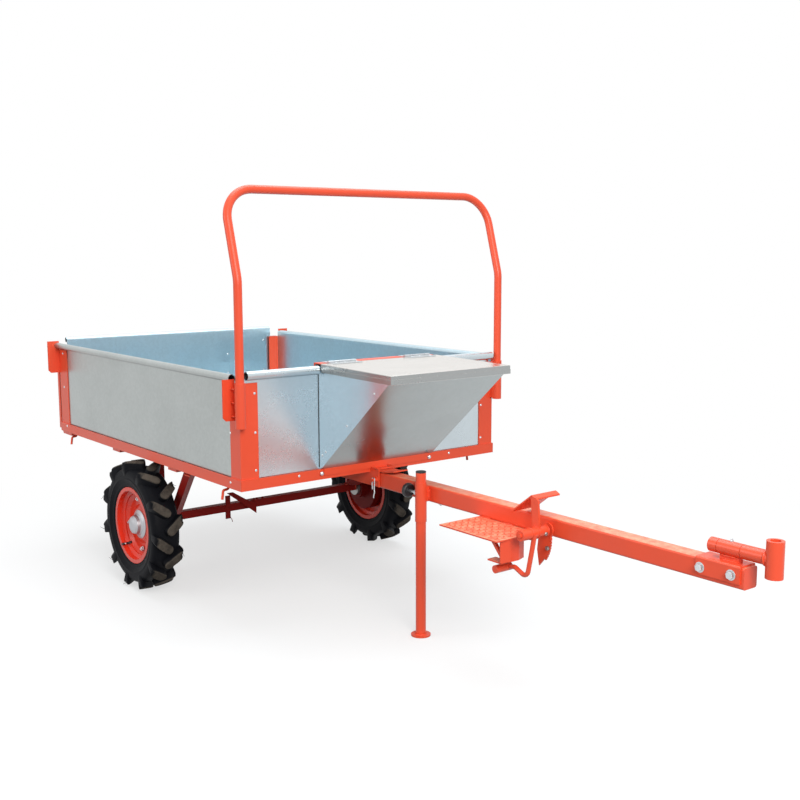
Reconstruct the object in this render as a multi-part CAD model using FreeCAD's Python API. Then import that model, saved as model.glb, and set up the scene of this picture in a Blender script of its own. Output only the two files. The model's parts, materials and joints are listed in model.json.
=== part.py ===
"""Walk-behind tractor trailer: galvanised load bed on a braked axle, drawbar with stand and swivel hitch.

Millimetres.  While modelling, x = 0 is the front face of the bed's bottom rail, +X points to the hitch,
y = 0 is the centre line with +Y to the left, and z = 0 is the ground.  On export everything is shifted
along X so that the origin is at the middle of the overall length.
"""
import FreeCAD, Part
import math
import os
from FreeCAD import Vector as V

# ---------------------------------------------------------------- driving dimensions
# load bed
BED_LENGTH = 1400.0           # over the bottom rails
BED_WIDTH = 1000.0            # over the bottom rails
RAIL_CLEARANCE = 458.0        # underside of the rails above the ground
RAIL_HEIGHT = 33.0
RAIL_FLANGE = 35.0
RAIL_GAUGE = 3.0
SHEET = 1.5                   # galvanised sheet
SIDE_HEIGHT = 344.0           # top of the side walls above the rail's underside
FRONT_HEIGHT = 354.0          # top of the front wall's rolled edge, same datum
GATE_HEIGHT = 361.0           # top of the tailgate, same datum
SIDE_ROLL_OD = 23.0
FRONT_ROLL_OD = 27.0
GATE_ROLL_OD = 20.0
SIDE_ROLL_SETBACK = 35.0      # rolled edge starts this far behind the front face
FRONT_ROLL_INSET = 20.0       # front rolled edge stops this far short of the bed's side, inside the hoop
POST_WIDTH = 60.0
REAR_POST_WIDTH = 76.0        # rear posts' flange along the side
REAR_POST_RETURN = 48.0       # rear posts' flange across the bed
POST_GAUGE = 3.0
POST_TOP = 318.0              # above the rail's underside
BEND_RADIUS = 4.0             # outside radius of folded plate
CROSS_MEMBER_X = (-461.0, -900.0)
CROSS_MEMBER_WIDTH = 60.0
STRUT_PAD_DEPTH = 12.0        # pad plates that show under the side rails
CORNER_FOOT = (95.0, 11.0)    # length and depth of the pads under the rear corners

# guard plates across the ends of the rolled side edges
GUARD_GAUGE = 3.0
GUARD_REACH_FRONT = 40.0      # outward from the posts
GUARD_REACH_REAR = 45.0
GUARD_HEIGHT = 122.0
GUARD_BOTTOM_FRONT = 208.0    # above the rail's underside
GUARD_BOTTOM_REAR = 228.0
GUARD_CLIP = 10.0             # clipped lower corner
GUARD_GAP = 1.0               # ahead of the rolled edge's front end

# hoop
HOOP_OD = 25.4
HOOP_WALL = 2.6
HOOP_TOP = 876.0              # centre of the top bar above the rail's underside
HOOP_KNEE = 618.0             # where the legs start to lean back
HOOP_LEAN = 74.0              # how far the top bar stands behind the legs' feet
HOOP_KNEE_RADIUS = 90.0
HOOP_CORNER_RADIUS = 95.0
HOOP_OUTSET = 4.0             # middle of the hoop's legs outside the bed's side
SLEEVE_OD = 31.0
SLEEVE_LENGTH = 132.0
SLEEVE_BOTTOM = 190.0         # above the rail's underside
SLEEVE_PLUG = 4.0

# seat box
SEAT_WIDTH = 443.0            # outside of the box's side sheets
SEAT_REACH = 356.0            # how far the box reaches ahead of the bed
SEAT_TOP = 352.0              # rim above the rail's underside
SEAT_FRONT_LIP = 15.0         # height of the upright rim at the front
LID_TOP = 360.0               # at its rear edge, above the rail's underside
LID_OVERLAP = (9.0, 6.5)      # lid past the seat box at the front and at each side
LID_SKIRT = 18.0
LID_FALL = 5.5925             # lid's fall over the box's reach
LID_SIDE_GAP = 3.0            # lid to the rolled edges beside it
CAP_REAR = -30.0              # folded cap behind the lid, from here to the hinges
CAP_GAUGE = 3.0
CAP_LEG = 23.0                # stays above the load space
HINGE_LENGTH = 104.0
HINGE_Y = 147.0
HINGE_BARREL_OD = 8.0
HINGE_PIN_OD = 4.0
HINGE_LEAF = 2.0
HINGE_LEAF_WIDTH = 31.0
HINGE_GAP = 0.5               # leaf or lid edge to a moving knuckle
LID_PIVOT_X = 13.5

# running gear
AXLE_X = -700.0
TYRE_OD = 444.0
TYRE_WIDTH = 100.0
TYRE_WALL = 11.0
TRACK_INSET = 10.0            # track narrower than the bed
RIM_RADIUS = 132.0            # outside of the rim's flange
RIM_SEAT_RADIUS = 122.0
RIM_WIDTH = 78.0
RIM_GAUGE = 3.5
DISC_RECESS = 30.5            # wheel disc behind the rim's outer edge
HUB_RADIUS = 38.0
DRUM_RADIUS = 84.0
DRUM_WIDTH = 34.0
SPINDLE_OD = 30.0
RUNNING_CLEARANCE = 0.1
AXLE_TUBE = 28.0
AXLE_RISE = 8.0               # axle beam above the wheels' centres
AXLE_TUBE_WALL = 4.0
AXLE_END_INSET = 91.0         # beam's ends inside the middles of the wheels
STRUT_SIZE = 27.0
STRUT_REACH = 333.0           # strut tops ahead of the axle
STRUT_TOP_INSET = 25.0        # strut tops inside the bed's side
STRUT_FOOT_INSET = 32.0       # strut feet inside the beam's ends
AXLE_POST_OUTSET = 21.0       # upright posts outside the beam's ends
BACKPLATE_RADIUS = 88.0
BACKPLATE_GAUGE = 4.0

# drawbar
BAR_SIZE = 50.0
BAR_WALL = 4.0
BAR_CORNER = 6.0
BAR_FRONT = 1377.0
BAR_RISE = 4.0                # top of the bar above the rail's underside
GUIDE_GAP = 3.0               # bed's guide channel to the bar
BAR_CLEARANCE = 6.0           # other bed pieces to the bar
GUIDE_GAUGE = 4.0
GUIDE_REAR = -180.0
GUIDE_FRONT = 45.0
GUIDE_TONGUE = 118.0
HEEL_OD = 44.0                # cross tube at the bar's tail, on the bed's pivot
HEEL_SIDE_GAP = 1.0           # heel to the lugs beside it
PIVOT_OD = 20.0
LUG_GAUGE = 6.0
LUG_HALF_WIDTH = 28.0

ROPE_HOOK_INSET = (127.0, 82.0)  # from the bed's front and rear ends

# stand
STAND_X = 277.0
STAND_SPACE = 6.5             # sleeve to the bar, bridged by a web
STAND_SLEEVE_OD = 35.0
STAND_LEG_OD = 31.0
STAND_LEG_WALL = 2.6
STAND_CLEARANCE = 0.1
HOOP_CLEARANCE = 0.3          # hoop's legs in their sleeves
STAND_SLEEVE_TOP = 16.0       # above the rail's underside
STAND_SLEEVE_BOTTOM = -104.0
STAND_LEG_TOP = 45.0
STAND_FOOT_OD = 60.0
STAND_FOOT_THICK = 5.0
KNOB_OD = 44.0
KNOB_REACH = 36.5             # knob's near face from the sleeve
KNOB_THICK = 16.0

# footrest and brake control
FOOTREST = (508.0, 738.0)     # rear and front edge
FOOTREST_Y = 172.0            # outer edge, to the right of the centre line
FOOTREST_GAUGE = 4.0
APRON_Y = (150.0, 62.0)       # folded apron under the front edge, to the right of the centre line
APRON_DEPTH = 60.0
PEDAL_X = 781.0               # cross shaft of the brake lever
PEDAL_DROP = 29.0             # cross shaft below the rail's underside
CROSS_TUBE_Y = (130.0, 38.0)  # tube on the cross shaft that carries pedal and lever
CROSS_TUBE_OD = 29.0
PEDAL_Y = 66.0                # lever's plane, to the right of the centre line

# hitch
SADDLE = (1250.0, 1369.0)
SADDLE_GAUGE = 4.0
SADDLE_CHEEK = 38.0
SWIVEL_OD = 34.0
SWIVEL_ROD_OD = 22.0
SWIVEL_RISE = 35.0            # swivel axis above the rail's underside
BARREL = (1295.0, 1356.0)
COLLAR_REAR = 1271.0
SWIVEL_GAP = 1.0
HITCH_X = 1436.0
HITCH_OD = 40.0
HITCH_BORE = 24.0
HITCH_HEIGHT = 85.0

# tailgate
GATE_GAP = 5.0                # tailgate behind the bed
GATE_BOTTOM = 8.0             # above the rail's underside
GATE_HINGE_BACK = 16.5        # hinge axis behind the bed
GATE_HINGE_Y = 330.0
GATE_KNUCKLE_OD = 12.0
GATE_PIN_OD = 6.0
GATE_FRAME_WIDTH = 38.0
GATE_FRAME_DEPTH = 16.0
LATCH_INSET = (45.0, 10.0)    # catch plates' inner and outer edges inside the bed's side
LATCH_GAUGE = 3.0
LATCH_HEIGHT = 44.0
LATCH_RISE = 290.0            # their middle above the rail's underside

# travel of the moving pieces
LID_OPENING = 170.0           # degrees
STAND_TRAVEL = 170.0

# ---------------------------------------------------------------- derived places
G = RAIL_CLEARANCE
HALF_W = BED_WIDTH / 2
HOOP_Y = HALF_W + HOOP_OUTSET
LATCH_Y = (HALF_W - LATCH_INSET[0], HALF_W - LATCH_INSET[1])
FRONT_ROLL_END = HALF_W - FRONT_ROLL_INSET
STRUT_TOP_Y = HALF_W - STRUT_TOP_INSET
POST_FACE_Y = HALF_W - RAIL_GAUGE               # posts nest inside the rails
SHEET_FACE_Y = POST_FACE_Y - POST_GAUGE         # sheet nests inside the posts
SHEET_IN_Y = SHEET_FACE_Y - SHEET
POST_FACE_X = -RAIL_GAUGE
SHEET_FACE_X = POST_FACE_X - POST_GAUGE
SHEET_IN_X = SHEET_FACE_X - SHEET
REAR_X = -BED_LENGTH
ROPE_HOOK_X = (-ROPE_HOOK_INSET[0], REAR_X + ROPE_HOOK_INSET[1])
POST_REAR_X = REAR_X + RAIL_GAUGE
FLOOR_Z = G + RAIL_HEIGHT
WHEEL_Z = TYRE_OD / 2
BAR_TOP = G + BAR_RISE
BAR_BOTTOM = BAR_TOP - BAR_SIZE
BAR_HALF = BAR_SIZE / 2
PIVOT_Z = BAR_BOTTOM + BAR_HALF
GUIDE_HALF = BAR_HALF + GUIDE_GAP + GUIDE_GAUGE
GUIDE_TOP = BAR_TOP + GUIDE_GAP + GUIDE_GAUGE
LID_REACH = SEAT_REACH + LID_OVERLAP[0]
LID_WIDTH = SEAT_WIDTH + 2 * LID_OVERLAP[1]
LID_SLOPE = math.degrees(math.atan2(LID_FALL, SEAT_REACH))
LID_PIVOT_Z = LID_TOP + HINGE_LEAF + 1.0
LID_REAR = LID_PIVOT_X + HINGE_BARREL_OD / 2 + HINGE_GAP
CAP_FRONT = LID_PIVOT_X - HINGE_BARREL_OD / 2 - HINGE_GAP
STAND_Y = -(BAR_HALF + STAND_SPACE + STAND_SLEEVE_OD / 2)
GATE_FRONT_X = REAR_X - GATE_GAP
GATE_REAR_X = GATE_FRONT_X - GATE_ROLL_OD
GATE_HINGE_X = REAR_X - GATE_HINGE_BACK
GATE_HINGE_Z = G
HALF_TRACK = (BED_WIDTH - TRACK_INSET) / 2
AXLE_HALF_LENGTH = HALF_TRACK - AXLE_END_INSET
STRUT_FOOT_Y = AXLE_HALF_LENGTH - STRUT_FOOT_INSET
AXLE_POST_Y = AXLE_HALF_LENGTH + AXLE_POST_OUTSET
SEAT_HALF = SEAT_WIDTH / 2
X_MIDDLE = (HITCH_X + HITCH_OD / 2 + GATE_REAR_X) / 2

NODES = {}


# ---------------------------------------------------------------- shape helpers
def block(x0, x1, y0, y1, z0, z1):
    return Part.makeBox(x1 - x0, y1 - y0, z1 - z0, V(x0, y0, z0))


def rod(start, end, diameter):
    start, end = V(*start), V(*end)
    return Part.makeCylinder(diameter / 2, (end - start).Length, start, end - start)


def pipe(start, end, outer, inner):
    return rod(start, end, outer).cut(rod(start, end, inner))


def polygon(points):
    return Part.makePolygon([V(*p) for p in points] + [V(*points[0])])


def plate(points, direction):
    """Flat polygon of 3-D points, thickened along direction."""
    return Part.Face(polygon(points)).extrude(V(*direction))


def rounded_square(size, radius, centre_y, centre_z, x):
    """Rounded square wire in a plane across X."""
    half = size / 2
    outline = plate([(x, centre_y - half, centre_z - half), (x, centre_y + half, centre_z - half),
                     (x, centre_y + half, centre_z + half), (x, centre_y - half, centre_z + half)], (1, 0, 0))
    along_x = [e for e in outline.Edges if abs(e.tangentAt(e.FirstParameter).x) > 0.9]
    solid = outline.makeFillet(radius, along_x)
    return min(solid.Faces, key=lambda f: f.CenterOfMass.x).OuterWire


def square_tube(x0, x1, size, wall, radius, centre_z):
    outer = Part.Face(rounded_square(size, radius, 0, centre_z, x0)).extrude(V(x1 - x0, 0, 0))
    inner = Part.Face(rounded_square(size - 2 * wall, radius - wall, 0, centre_z, x0)).extrude(V(x1 - x0, 0, 0))
    return outer.cut(inner)


def mirror_y(shape):
    return shape.mirror(V(0, 0, 0), V(0, 1, 0))


def both_sides(shape):
    return [shape, mirror_y(shape)]


def fuse(shapes):
    result = shapes[0]
    for other in shapes[1:]:
        result = result.fuse(other)
    return result.removeSplitter()


def bent_path(points, radii):
    """Straight runs joined by tangent arcs; radii are for the inner points."""
    points = [V(*p) for p in points]
    edges = []
    last = points[0]
    for before, corner, after, radius in zip(points, points[1:], points[2:], radii):
        a = (before - corner).normalize()
        b = (after - corner).normalize()
        half_turn = (math.pi - a.getAngle(b)) / 2
        reach = radius * math.tan(half_turn)
        start, end = corner + a * reach, corner + b * reach
        bisector = (a + b).normalize()
        middle = corner + bisector * (radius / math.cos(half_turn) - radius)
        if (start - last).Length > 1e-6:
            edges.append(Part.makeLine(last, start))
        edges.append(Part.Arc(start, middle, end).toShape())
        last = end
    edges.append(Part.makeLine(last, points[-1]))
    return Part.Wire(edges)


def bent_bar(points, radii, diameter):
    path = bent_path(points, radii)
    start = V(*points[0])
    direction = V(*points[1]) - start
    profile = Part.Wire(Part.makeCircle(diameter / 2, start, direction))
    return path.makePipeShell([profile], True, False)


def turned(profile, centre_y, side):
    """Revolve (offset outward along Y, radius) points about the wheel's axis; side is -1 right, +1 left."""
    points = [(AXLE_X, centre_y + side * y, WHEEL_Z + r) for y, r in profile]
    return Part.Face(polygon(points)).revolve(V(AXLE_X, 0, WHEEL_Z), V(0, 1, 0), 360)


def beam(start, end, size):
    """Square bar between two points with one face square to the Y-Z plane."""
    start, end = V(*start), V(*end)
    direction = (end - start).normalize()
    side = direction.cross(V(1, 0, 0)).normalize()
    front = side.cross(direction).normalize()
    half = size / 2
    corners = [start + side * (sy * half) + front * (sx * half)
               for sx, sy in ((-1, -1), (1, -1), (1, 1), (-1, 1))]
    return Part.Face(Part.makePolygon(corners + [corners[0]])).extrude(end - start)


def add(name, *shapes):
    NODES[name] = shapes[0] if len(shapes) == 1 else Part.makeCompound(list(shapes))


# ---------------------------------------------------------------- bed frame
def angle_rail(length):
    """Angle along X from the origin: upright leg on the -Y side, flange inward, both ends mitred."""
    section = plate([(0, 0, 0), (0, RAIL_FLANGE, 0), (0, RAIL_FLANGE, RAIL_GAUGE),
                     (0, RAIL_GAUGE, RAIL_GAUGE), (0, RAIL_GAUGE, RAIL_HEIGHT), (0, 0, RAIL_HEIGHT)],
                    (length, 0, 0))
    reach = RAIL_FLANGE
    trapezium = plate([(0, 0, 0), (length, 0, 0), (length - reach, reach, 0), (reach, reach, 0)],
                      (0, 0, RAIL_HEIGHT))
    return section.common(trapezium)


def placed(shape, x, y, angle):
    shape = shape.copy()
    shape.rotate(V(0, 0, 0), V(0, 0, 1), angle)
    shape.translate(V(x, y, G))
    return shape


def bed_frame():
    long_rail, cross_rail = angle_rail(BED_LENGTH), angle_rail(BED_WIDTH)
    guide_notch = block(GUIDE_REAR, GUIDE_FRONT, -GUIDE_HALF, GUIDE_HALF, 0, GUIDE_TOP)
    bar_notch = block(AXLE_X - HEEL_OD, 0, -GUIDE_HALF, GUIDE_HALF, 0, BAR_TOP + BAR_CLEARANCE)
    add("side_rails", placed(long_rail, REAR_X, -HALF_W, 0), placed(long_rail, 0, HALF_W, 180))
    add("end_rails", placed(cross_rail, 0, -HALF_W, 90).cut(guide_notch), placed(cross_rail, REAR_X, HALF_W, 270))

    members = []
    for x in CROSS_MEMBER_X + (AXLE_X,):
        half = CROSS_MEMBER_WIDTH / 2
        inner_y = POST_FACE_Y - POST_GAUGE - SHEET
        outside = block(x - half, x + half, -inner_y, inner_y, G + RAIL_GAUGE, FLOOR_Z)
        inside = block(x - half + RAIL_GAUGE, x + half - RAIL_GAUGE, -inner_y, inner_y,
                       G + RAIL_GAUGE, FLOOR_Z - RAIL_GAUGE)
        members.append(outside.cut(inside).cut(bar_notch))
    pads = []
    for x in CROSS_MEMBER_X:
        half = CROSS_MEMBER_WIDTH / 2
        pads += both_sides(block(x - half, x + half, -HALF_W + 8, -HALF_W + RAIL_FLANGE, G - STRUT_PAD_DEPTH, G))
    foot_length, foot_depth = CORNER_FOOT
    outline = [(REAR_X + 2, -HALF_W + 4, G), (REAR_X + foot_length, -HALF_W + 4, G),
               (REAR_X + foot_length, -HALF_W + 4, G - foot_depth),
               (REAR_X + 2 + foot_depth, -HALF_W + 4, G - foot_depth)]
    pads += both_sides(plate(outline, (0, RAIL_FLANGE - 4, 0)))
    add("cross_members", *(members + pads + pivot_lugs()))

    add("floor", block(REAR_X + 4 * RAIL_GAUGE, SHEET_IN_X, -SHEET_IN_Y, SHEET_IN_Y, FLOOR_Z, FLOOR_Z + SHEET))


def pivot_lugs():
    """Plates that hang from the middle cross member beside the bar's tail and carry the bed on its pivot."""
    half, channel = LUG_HALF_WIDTH, CROSS_MEMBER_WIDTH / 2 - RAIL_GAUGE
    top, shoulder = FLOOR_Z - RAIL_GAUGE, G + RAIL_GAUGE
    low = PIVOT_Z - PIVOT_OD
    outline = [(AXLE_X - channel, -GUIDE_HALF, top), (AXLE_X + channel, -GUIDE_HALF, top),
               (AXLE_X + channel, -GUIDE_HALF, shoulder), (AXLE_X + half - 12, -GUIDE_HALF, low),
               (AXLE_X - half + 12, -GUIDE_HALF, low), (AXLE_X - channel, -GUIDE_HALF, shoulder)]
    bore = rod((AXLE_X, -HALF_W, PIVOT_Z), (AXLE_X, 0, PIVOT_Z), PIVOT_OD + 2 * RUNNING_CLEARANCE)
    return both_sides(plate(outline, (0, -LUG_GAUGE, 0)).cut(bore))


def corner_post(outer_x, toward_x, width, flange):
    """Folded post at the right side; toward_x is -1 for the front pair and +1 for the rear pair."""
    tip_x = outer_x + toward_x * width
    inner = POST_FACE_Y - POST_GAUGE
    z0, height = G + RAIL_GAUGE, POST_TOP - RAIL_GAUGE
    fold_x = outer_x + toward_x * POST_GAUGE
    section = plate([(outer_x, -POST_FACE_Y, z0), (tip_x, -POST_FACE_Y, z0), (tip_x, -inner, z0),
                     (fold_x, -inner, z0), (fold_x, -POST_FACE_Y + flange, z0),
                     (outer_x, -POST_FACE_Y + flange, z0)], (0, 0, height))
    corner = [e for e in section.Edges
              if abs(e.CenterOfMass.x - outer_x) < 0.01 and abs(e.CenterOfMass.y + POST_FACE_Y) < 0.01]
    return section.makeFillet(BEND_RADIUS - 1, corner)


def roll_guard(front_x, reach, bottom):
    """Plate standing out from the post on the right, its lower outer corner clipped."""
    y_in, y_out = -POST_FACE_Y, -POST_FACE_Y - reach
    z0, z1 = G + bottom, G + bottom + GUARD_HEIGHT
    return plate([(front_x, y_in, z0), (front_x, y_out + GUARD_CLIP, z0), (front_x, y_out, z0 + GUARD_CLIP),
                  (front_x, y_out, z1), (front_x, y_in, z1)], (-GUARD_GAUGE, 0, 0))


def posts_and_guards():
    front = corner_post(POST_FACE_X, -1, POST_WIDTH, POST_WIDTH)
    rear = corner_post(POST_REAR_X, 1, REAR_POST_WIDTH, REAR_POST_RETURN)
    add("corner_posts", *(both_sides(front) + both_sides(rear)))
    front_x = -SIDE_ROLL_SETBACK + GUARD_GAP + GUARD_GAUGE
    guards = both_sides(roll_guard(front_x, GUARD_REACH_FRONT, GUARD_BOTTOM_FRONT))
    guards += both_sides(roll_guard(REAR_X + 2 * RAIL_GAUGE, GUARD_REACH_REAR, GUARD_BOTTOM_REAR))
    add("roll_guards", *guards)


# ---------------------------------------------------------------- bed walls
def side_wall():
    """Right-hand sheet with its top edge rolled outward into a tube."""
    radius = SIDE_ROLL_OD / 2
    centre_y, centre_z = -SHEET_IN_Y - radius, G + SIDE_HEIGHT - radius
    x0, x1 = REAR_X + 2 * RAIL_GAUGE, SHEET_IN_X
    sheet = block(x0, x1, -SHEET_FACE_Y, -SHEET_IN_Y, G + RAIL_GAUGE, centre_z)
    roll_start, roll_end = (x0, centre_y, centre_z), (-SIDE_ROLL_SETBACK, centre_y, centre_z)
    bore = rod(roll_start, roll_end, SIDE_ROLL_OD - 2 * SHEET)
    return sheet.fuse(rod(roll_start, roll_end, SIDE_ROLL_OD)).cut(bore).removeSplitter()


def front_wall():
    radius = FRONT_ROLL_OD / 2
    centre_x, centre_z = SHEET_IN_X + radius, G + FRONT_HEIGHT - radius
    lid_half = LID_WIDTH / 2 + LID_SIDE_GAP
    wall = block(SHEET_IN_X, SHEET_FACE_X, -SHEET_FACE_Y, SHEET_FACE_Y, G + RAIL_GAUGE, G + POST_TOP)
    wall = wall.fuse(block(SHEET_IN_X, SHEET_FACE_X, -FRONT_ROLL_END, FRONT_ROLL_END, G + POST_TOP, centre_z))
    wall = wall.fuse(block(SHEET_IN_X, SHEET_FACE_X, -lid_half, lid_half, centre_z, G + LID_TOP - CAP_GAUGE))
    for side in (-1, 1):
        start, end = (centre_x, side * lid_half, centre_z), (centre_x, side * FRONT_ROLL_END, centre_z)
        wall = wall.fuse(rod(start, end, FRONT_ROLL_OD)).cut(rod(start, end, FRONT_ROLL_OD - 2 * SHEET))
    guide = block(GUIDE_REAR, GUIDE_FRONT, -GUIDE_HALF, GUIDE_HALF, 0, GUIDE_TOP)
    return wall.cut(guide).removeSplitter()


def walls():
    add("side_walls", *both_sides(side_wall()))
    add("front_wall", front_wall())


# ---------------------------------------------------------------- hoop
def hoop():
    x = POST_FACE_X + SLEEVE_OD / 2
    foot_z = G + SLEEVE_BOTTOM + SLEEVE_PLUG
    points = [(x, -HOOP_Y, foot_z), (x, -HOOP_Y, G + HOOP_KNEE), (x - HOOP_LEAN, -HOOP_Y, G + HOOP_TOP),
              (x - HOOP_LEAN, HOOP_Y, G + HOOP_TOP), (x, HOOP_Y, G + HOOP_KNEE), (x, HOOP_Y, foot_z)]
    radii = [HOOP_KNEE_RADIUS, HOOP_CORNER_RADIUS, HOOP_CORNER_RADIUS, HOOP_KNEE_RADIUS]
    tube = bent_bar(points, radii, HOOP_OD).cut(bent_bar(points, radii, HOOP_OD - 2 * HOOP_WALL))
    add("hoop", tube)

    bottom, top = G + SLEEVE_BOTTOM, G + SLEEVE_BOTTOM + SLEEVE_LENGTH
    sleeve = rod((x, -HOOP_Y, bottom), (x, -HOOP_Y, top), SLEEVE_OD)
    web = block(POST_FACE_X, x, -HOOP_Y + 1, -POST_FACE_Y + POST_GAUGE * 4, bottom + 4, top - 4)
    bore = rod((x, -HOOP_Y, foot_z), (x, -HOOP_Y, top), HOOP_OD + 2 * HOOP_CLEARANCE)
    sleeve = fuse([sleeve, web]).cut(bore)
    add("hoop_sleeves", *both_sides(sleeve))


# ---------------------------------------------------------------- seat box and lid
def seat_box():
    """Wedge-shaped box of folded sheet, open at the top and closed behind by the front wall."""
    foot_z, rim_z = FLOOR_Z, G + SEAT_TOP - 1
    lip_z = rim_z - SEAT_FRONT_LIP

    def wedge(half, inset):
        # the slanted sheet is inset along its normal, so the flat length shrinks at both ends
        slope = math.hypot(SEAT_REACH, lip_z - foot_z)
        foot_shift = inset * slope / (lip_z - foot_z)
        x_foot = RAIL_GAUGE - foot_shift
        x_front = SEAT_REACH - inset
        z_lip = lip_z + (inset * slope / SEAT_REACH - inset * (lip_z - foot_z) / SEAT_REACH if inset else 0)
        start = SHEET_FACE_X - (1 if inset else 0)
        z_foot = foot_z - (1 if inset else 0)
        return plate([(start, -half, z_foot), (x_foot, -half, z_foot), (x_front, -half, z_lip),
                      (x_front, -half, rim_z + (1 if inset else 0)),
                      (start, -half, rim_z + (1 if inset else 0))], (0, 2 * half, 0))

    shell = wedge(SEAT_HALF, 0).cut(wedge(SEAT_HALF - SHEET, SHEET))
    add("seat_box", shell)

    half = SEAT_HALF - 12
    add("front_rail_doubler", block(0, RAIL_GAUGE, -half, half, GUIDE_TOP, FLOOR_Z))

    top = G + LID_TOP
    flange = block(CAP_REAR, CAP_FRONT, -SEAT_HALF, SEAT_HALF, top - CAP_GAUGE, top)
    leg = block(CAP_REAR, CAP_REAR + CAP_GAUGE, -SEAT_HALF, SEAT_HALF, top - CAP_LEG, top)
    add("lid_rail", fuse([flange, leg]))


def knuckles(x, z, centre_y, length, outer, pin, count, fixed):
    """Alternate knuckles of a butt hinge; the fixed ones carry the pin."""
    pitch = length / count
    parts = []
    gap = 0.4
    for i in range(count):
        if (i % 2 == 1) != fixed:
            continue
        y0 = centre_y - length / 2 + i * pitch + gap
        y1 = y0 + pitch - 2 * gap
        parts.append(rod((x, y0, z), (x, y1, z), outer))
    if fixed:
        y0, y1 = centre_y - length / 2 + gap, centre_y + length / 2 - gap
        parts.append(rod((x, y0, z), (x, y1, z), pin))
        return parts
    bore = pin + 2 * RUNNING_CLEARANCE
    return [p.cut(rod((x, centre_y - length, z), (x, centre_y + length, z), bore)) for p in parts]


def hinge_half(centre, fixed):
    """One leaf of a butt hinge lying flat, with its own knuckles; the fixed half also holds the pin."""
    y0, y1 = centre - HINGE_LENGTH / 2, centre + HINGE_LENGTH / 2
    leaf_z, pivot_z = G + LID_TOP, G + LID_PIVOT_Z
    towards = -1 if fixed else 1
    edge = LID_PIVOT_X + towards * (HINGE_BARREL_OD / 2 + HINGE_GAP)
    far = edge + towards * HINGE_LEAF_WIDTH
    parts = knuckles(LID_PIVOT_X, pivot_z, centre, HINGE_LENGTH, HINGE_BARREL_OD, HINGE_PIN_OD, 5, fixed)
    own = [k for k in parts if k.BoundBox.XLength > HINGE_PIN_OD + 1]
    necks = [block(min(edge, LID_PIVOT_X), max(edge, LID_PIVOT_X), k.BoundBox.YMin, k.BoundBox.YMax,
                   leaf_z, leaf_z + HINGE_LEAF) for k in own]
    leaf = block(min(edge, far), max(edge, far), y0, y1, leaf_z, leaf_z + HINGE_LEAF)
    half = fuse(parts + necks + [leaf])
    if fixed:
        return half
    bore = rod((LID_PIVOT_X, y0 - 5, pivot_z), (LID_PIVOT_X, y1 + 5, pivot_z),
               HINGE_PIN_OD + 2 * RUNNING_CLEARANCE)
    return half.cut(bore)


def lid():
    top = G + LID_TOP
    half = LID_WIDTH / 2
    body = block(LID_REAR, LID_REACH, -half, half, top - LID_SKIRT, top)
    edges = [e for e in body.Edges if abs(e.CenterOfMass.z - top) < 0.01 and e.CenterOfMass.x > LID_REAR + 1]
    body = body.makeFillet(BEND_RADIUS - SHEET, edges)
    hollow = block(LID_REAR - 1, LID_REACH - SHEET, -half + SHEET, half - SHEET,
                   top - LID_SKIRT - 1, top - SHEET)
    inner_edges = [e for e in hollow.Edges if abs(e.CenterOfMass.z - top + SHEET) < 0.01
                   and e.CenterOfMass.x > LID_REAR]
    hollow = hollow.makeFillet(1.0, inner_edges)
    cover = body.cut(hollow)
    leaves = [hinge_half(centre, False) for centre in (-HINGE_Y, HINGE_Y)]
    add("lid_hinges_fixed", *[hinge_half(centre, True) for centre in (-HINGE_Y, HINGE_Y)])
    # the lid and the moving leaves on it slope down towards the front about the hinge's axis
    for shape in [cover] + leaves:
        shape.rotate(V(LID_PIVOT_X, 0, G + LID_PIVOT_Z), V(0, 1, 0), LID_SLOPE)
    add("seat_lid", cover)
    add("lid_hinges_moving", *leaves)


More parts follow.
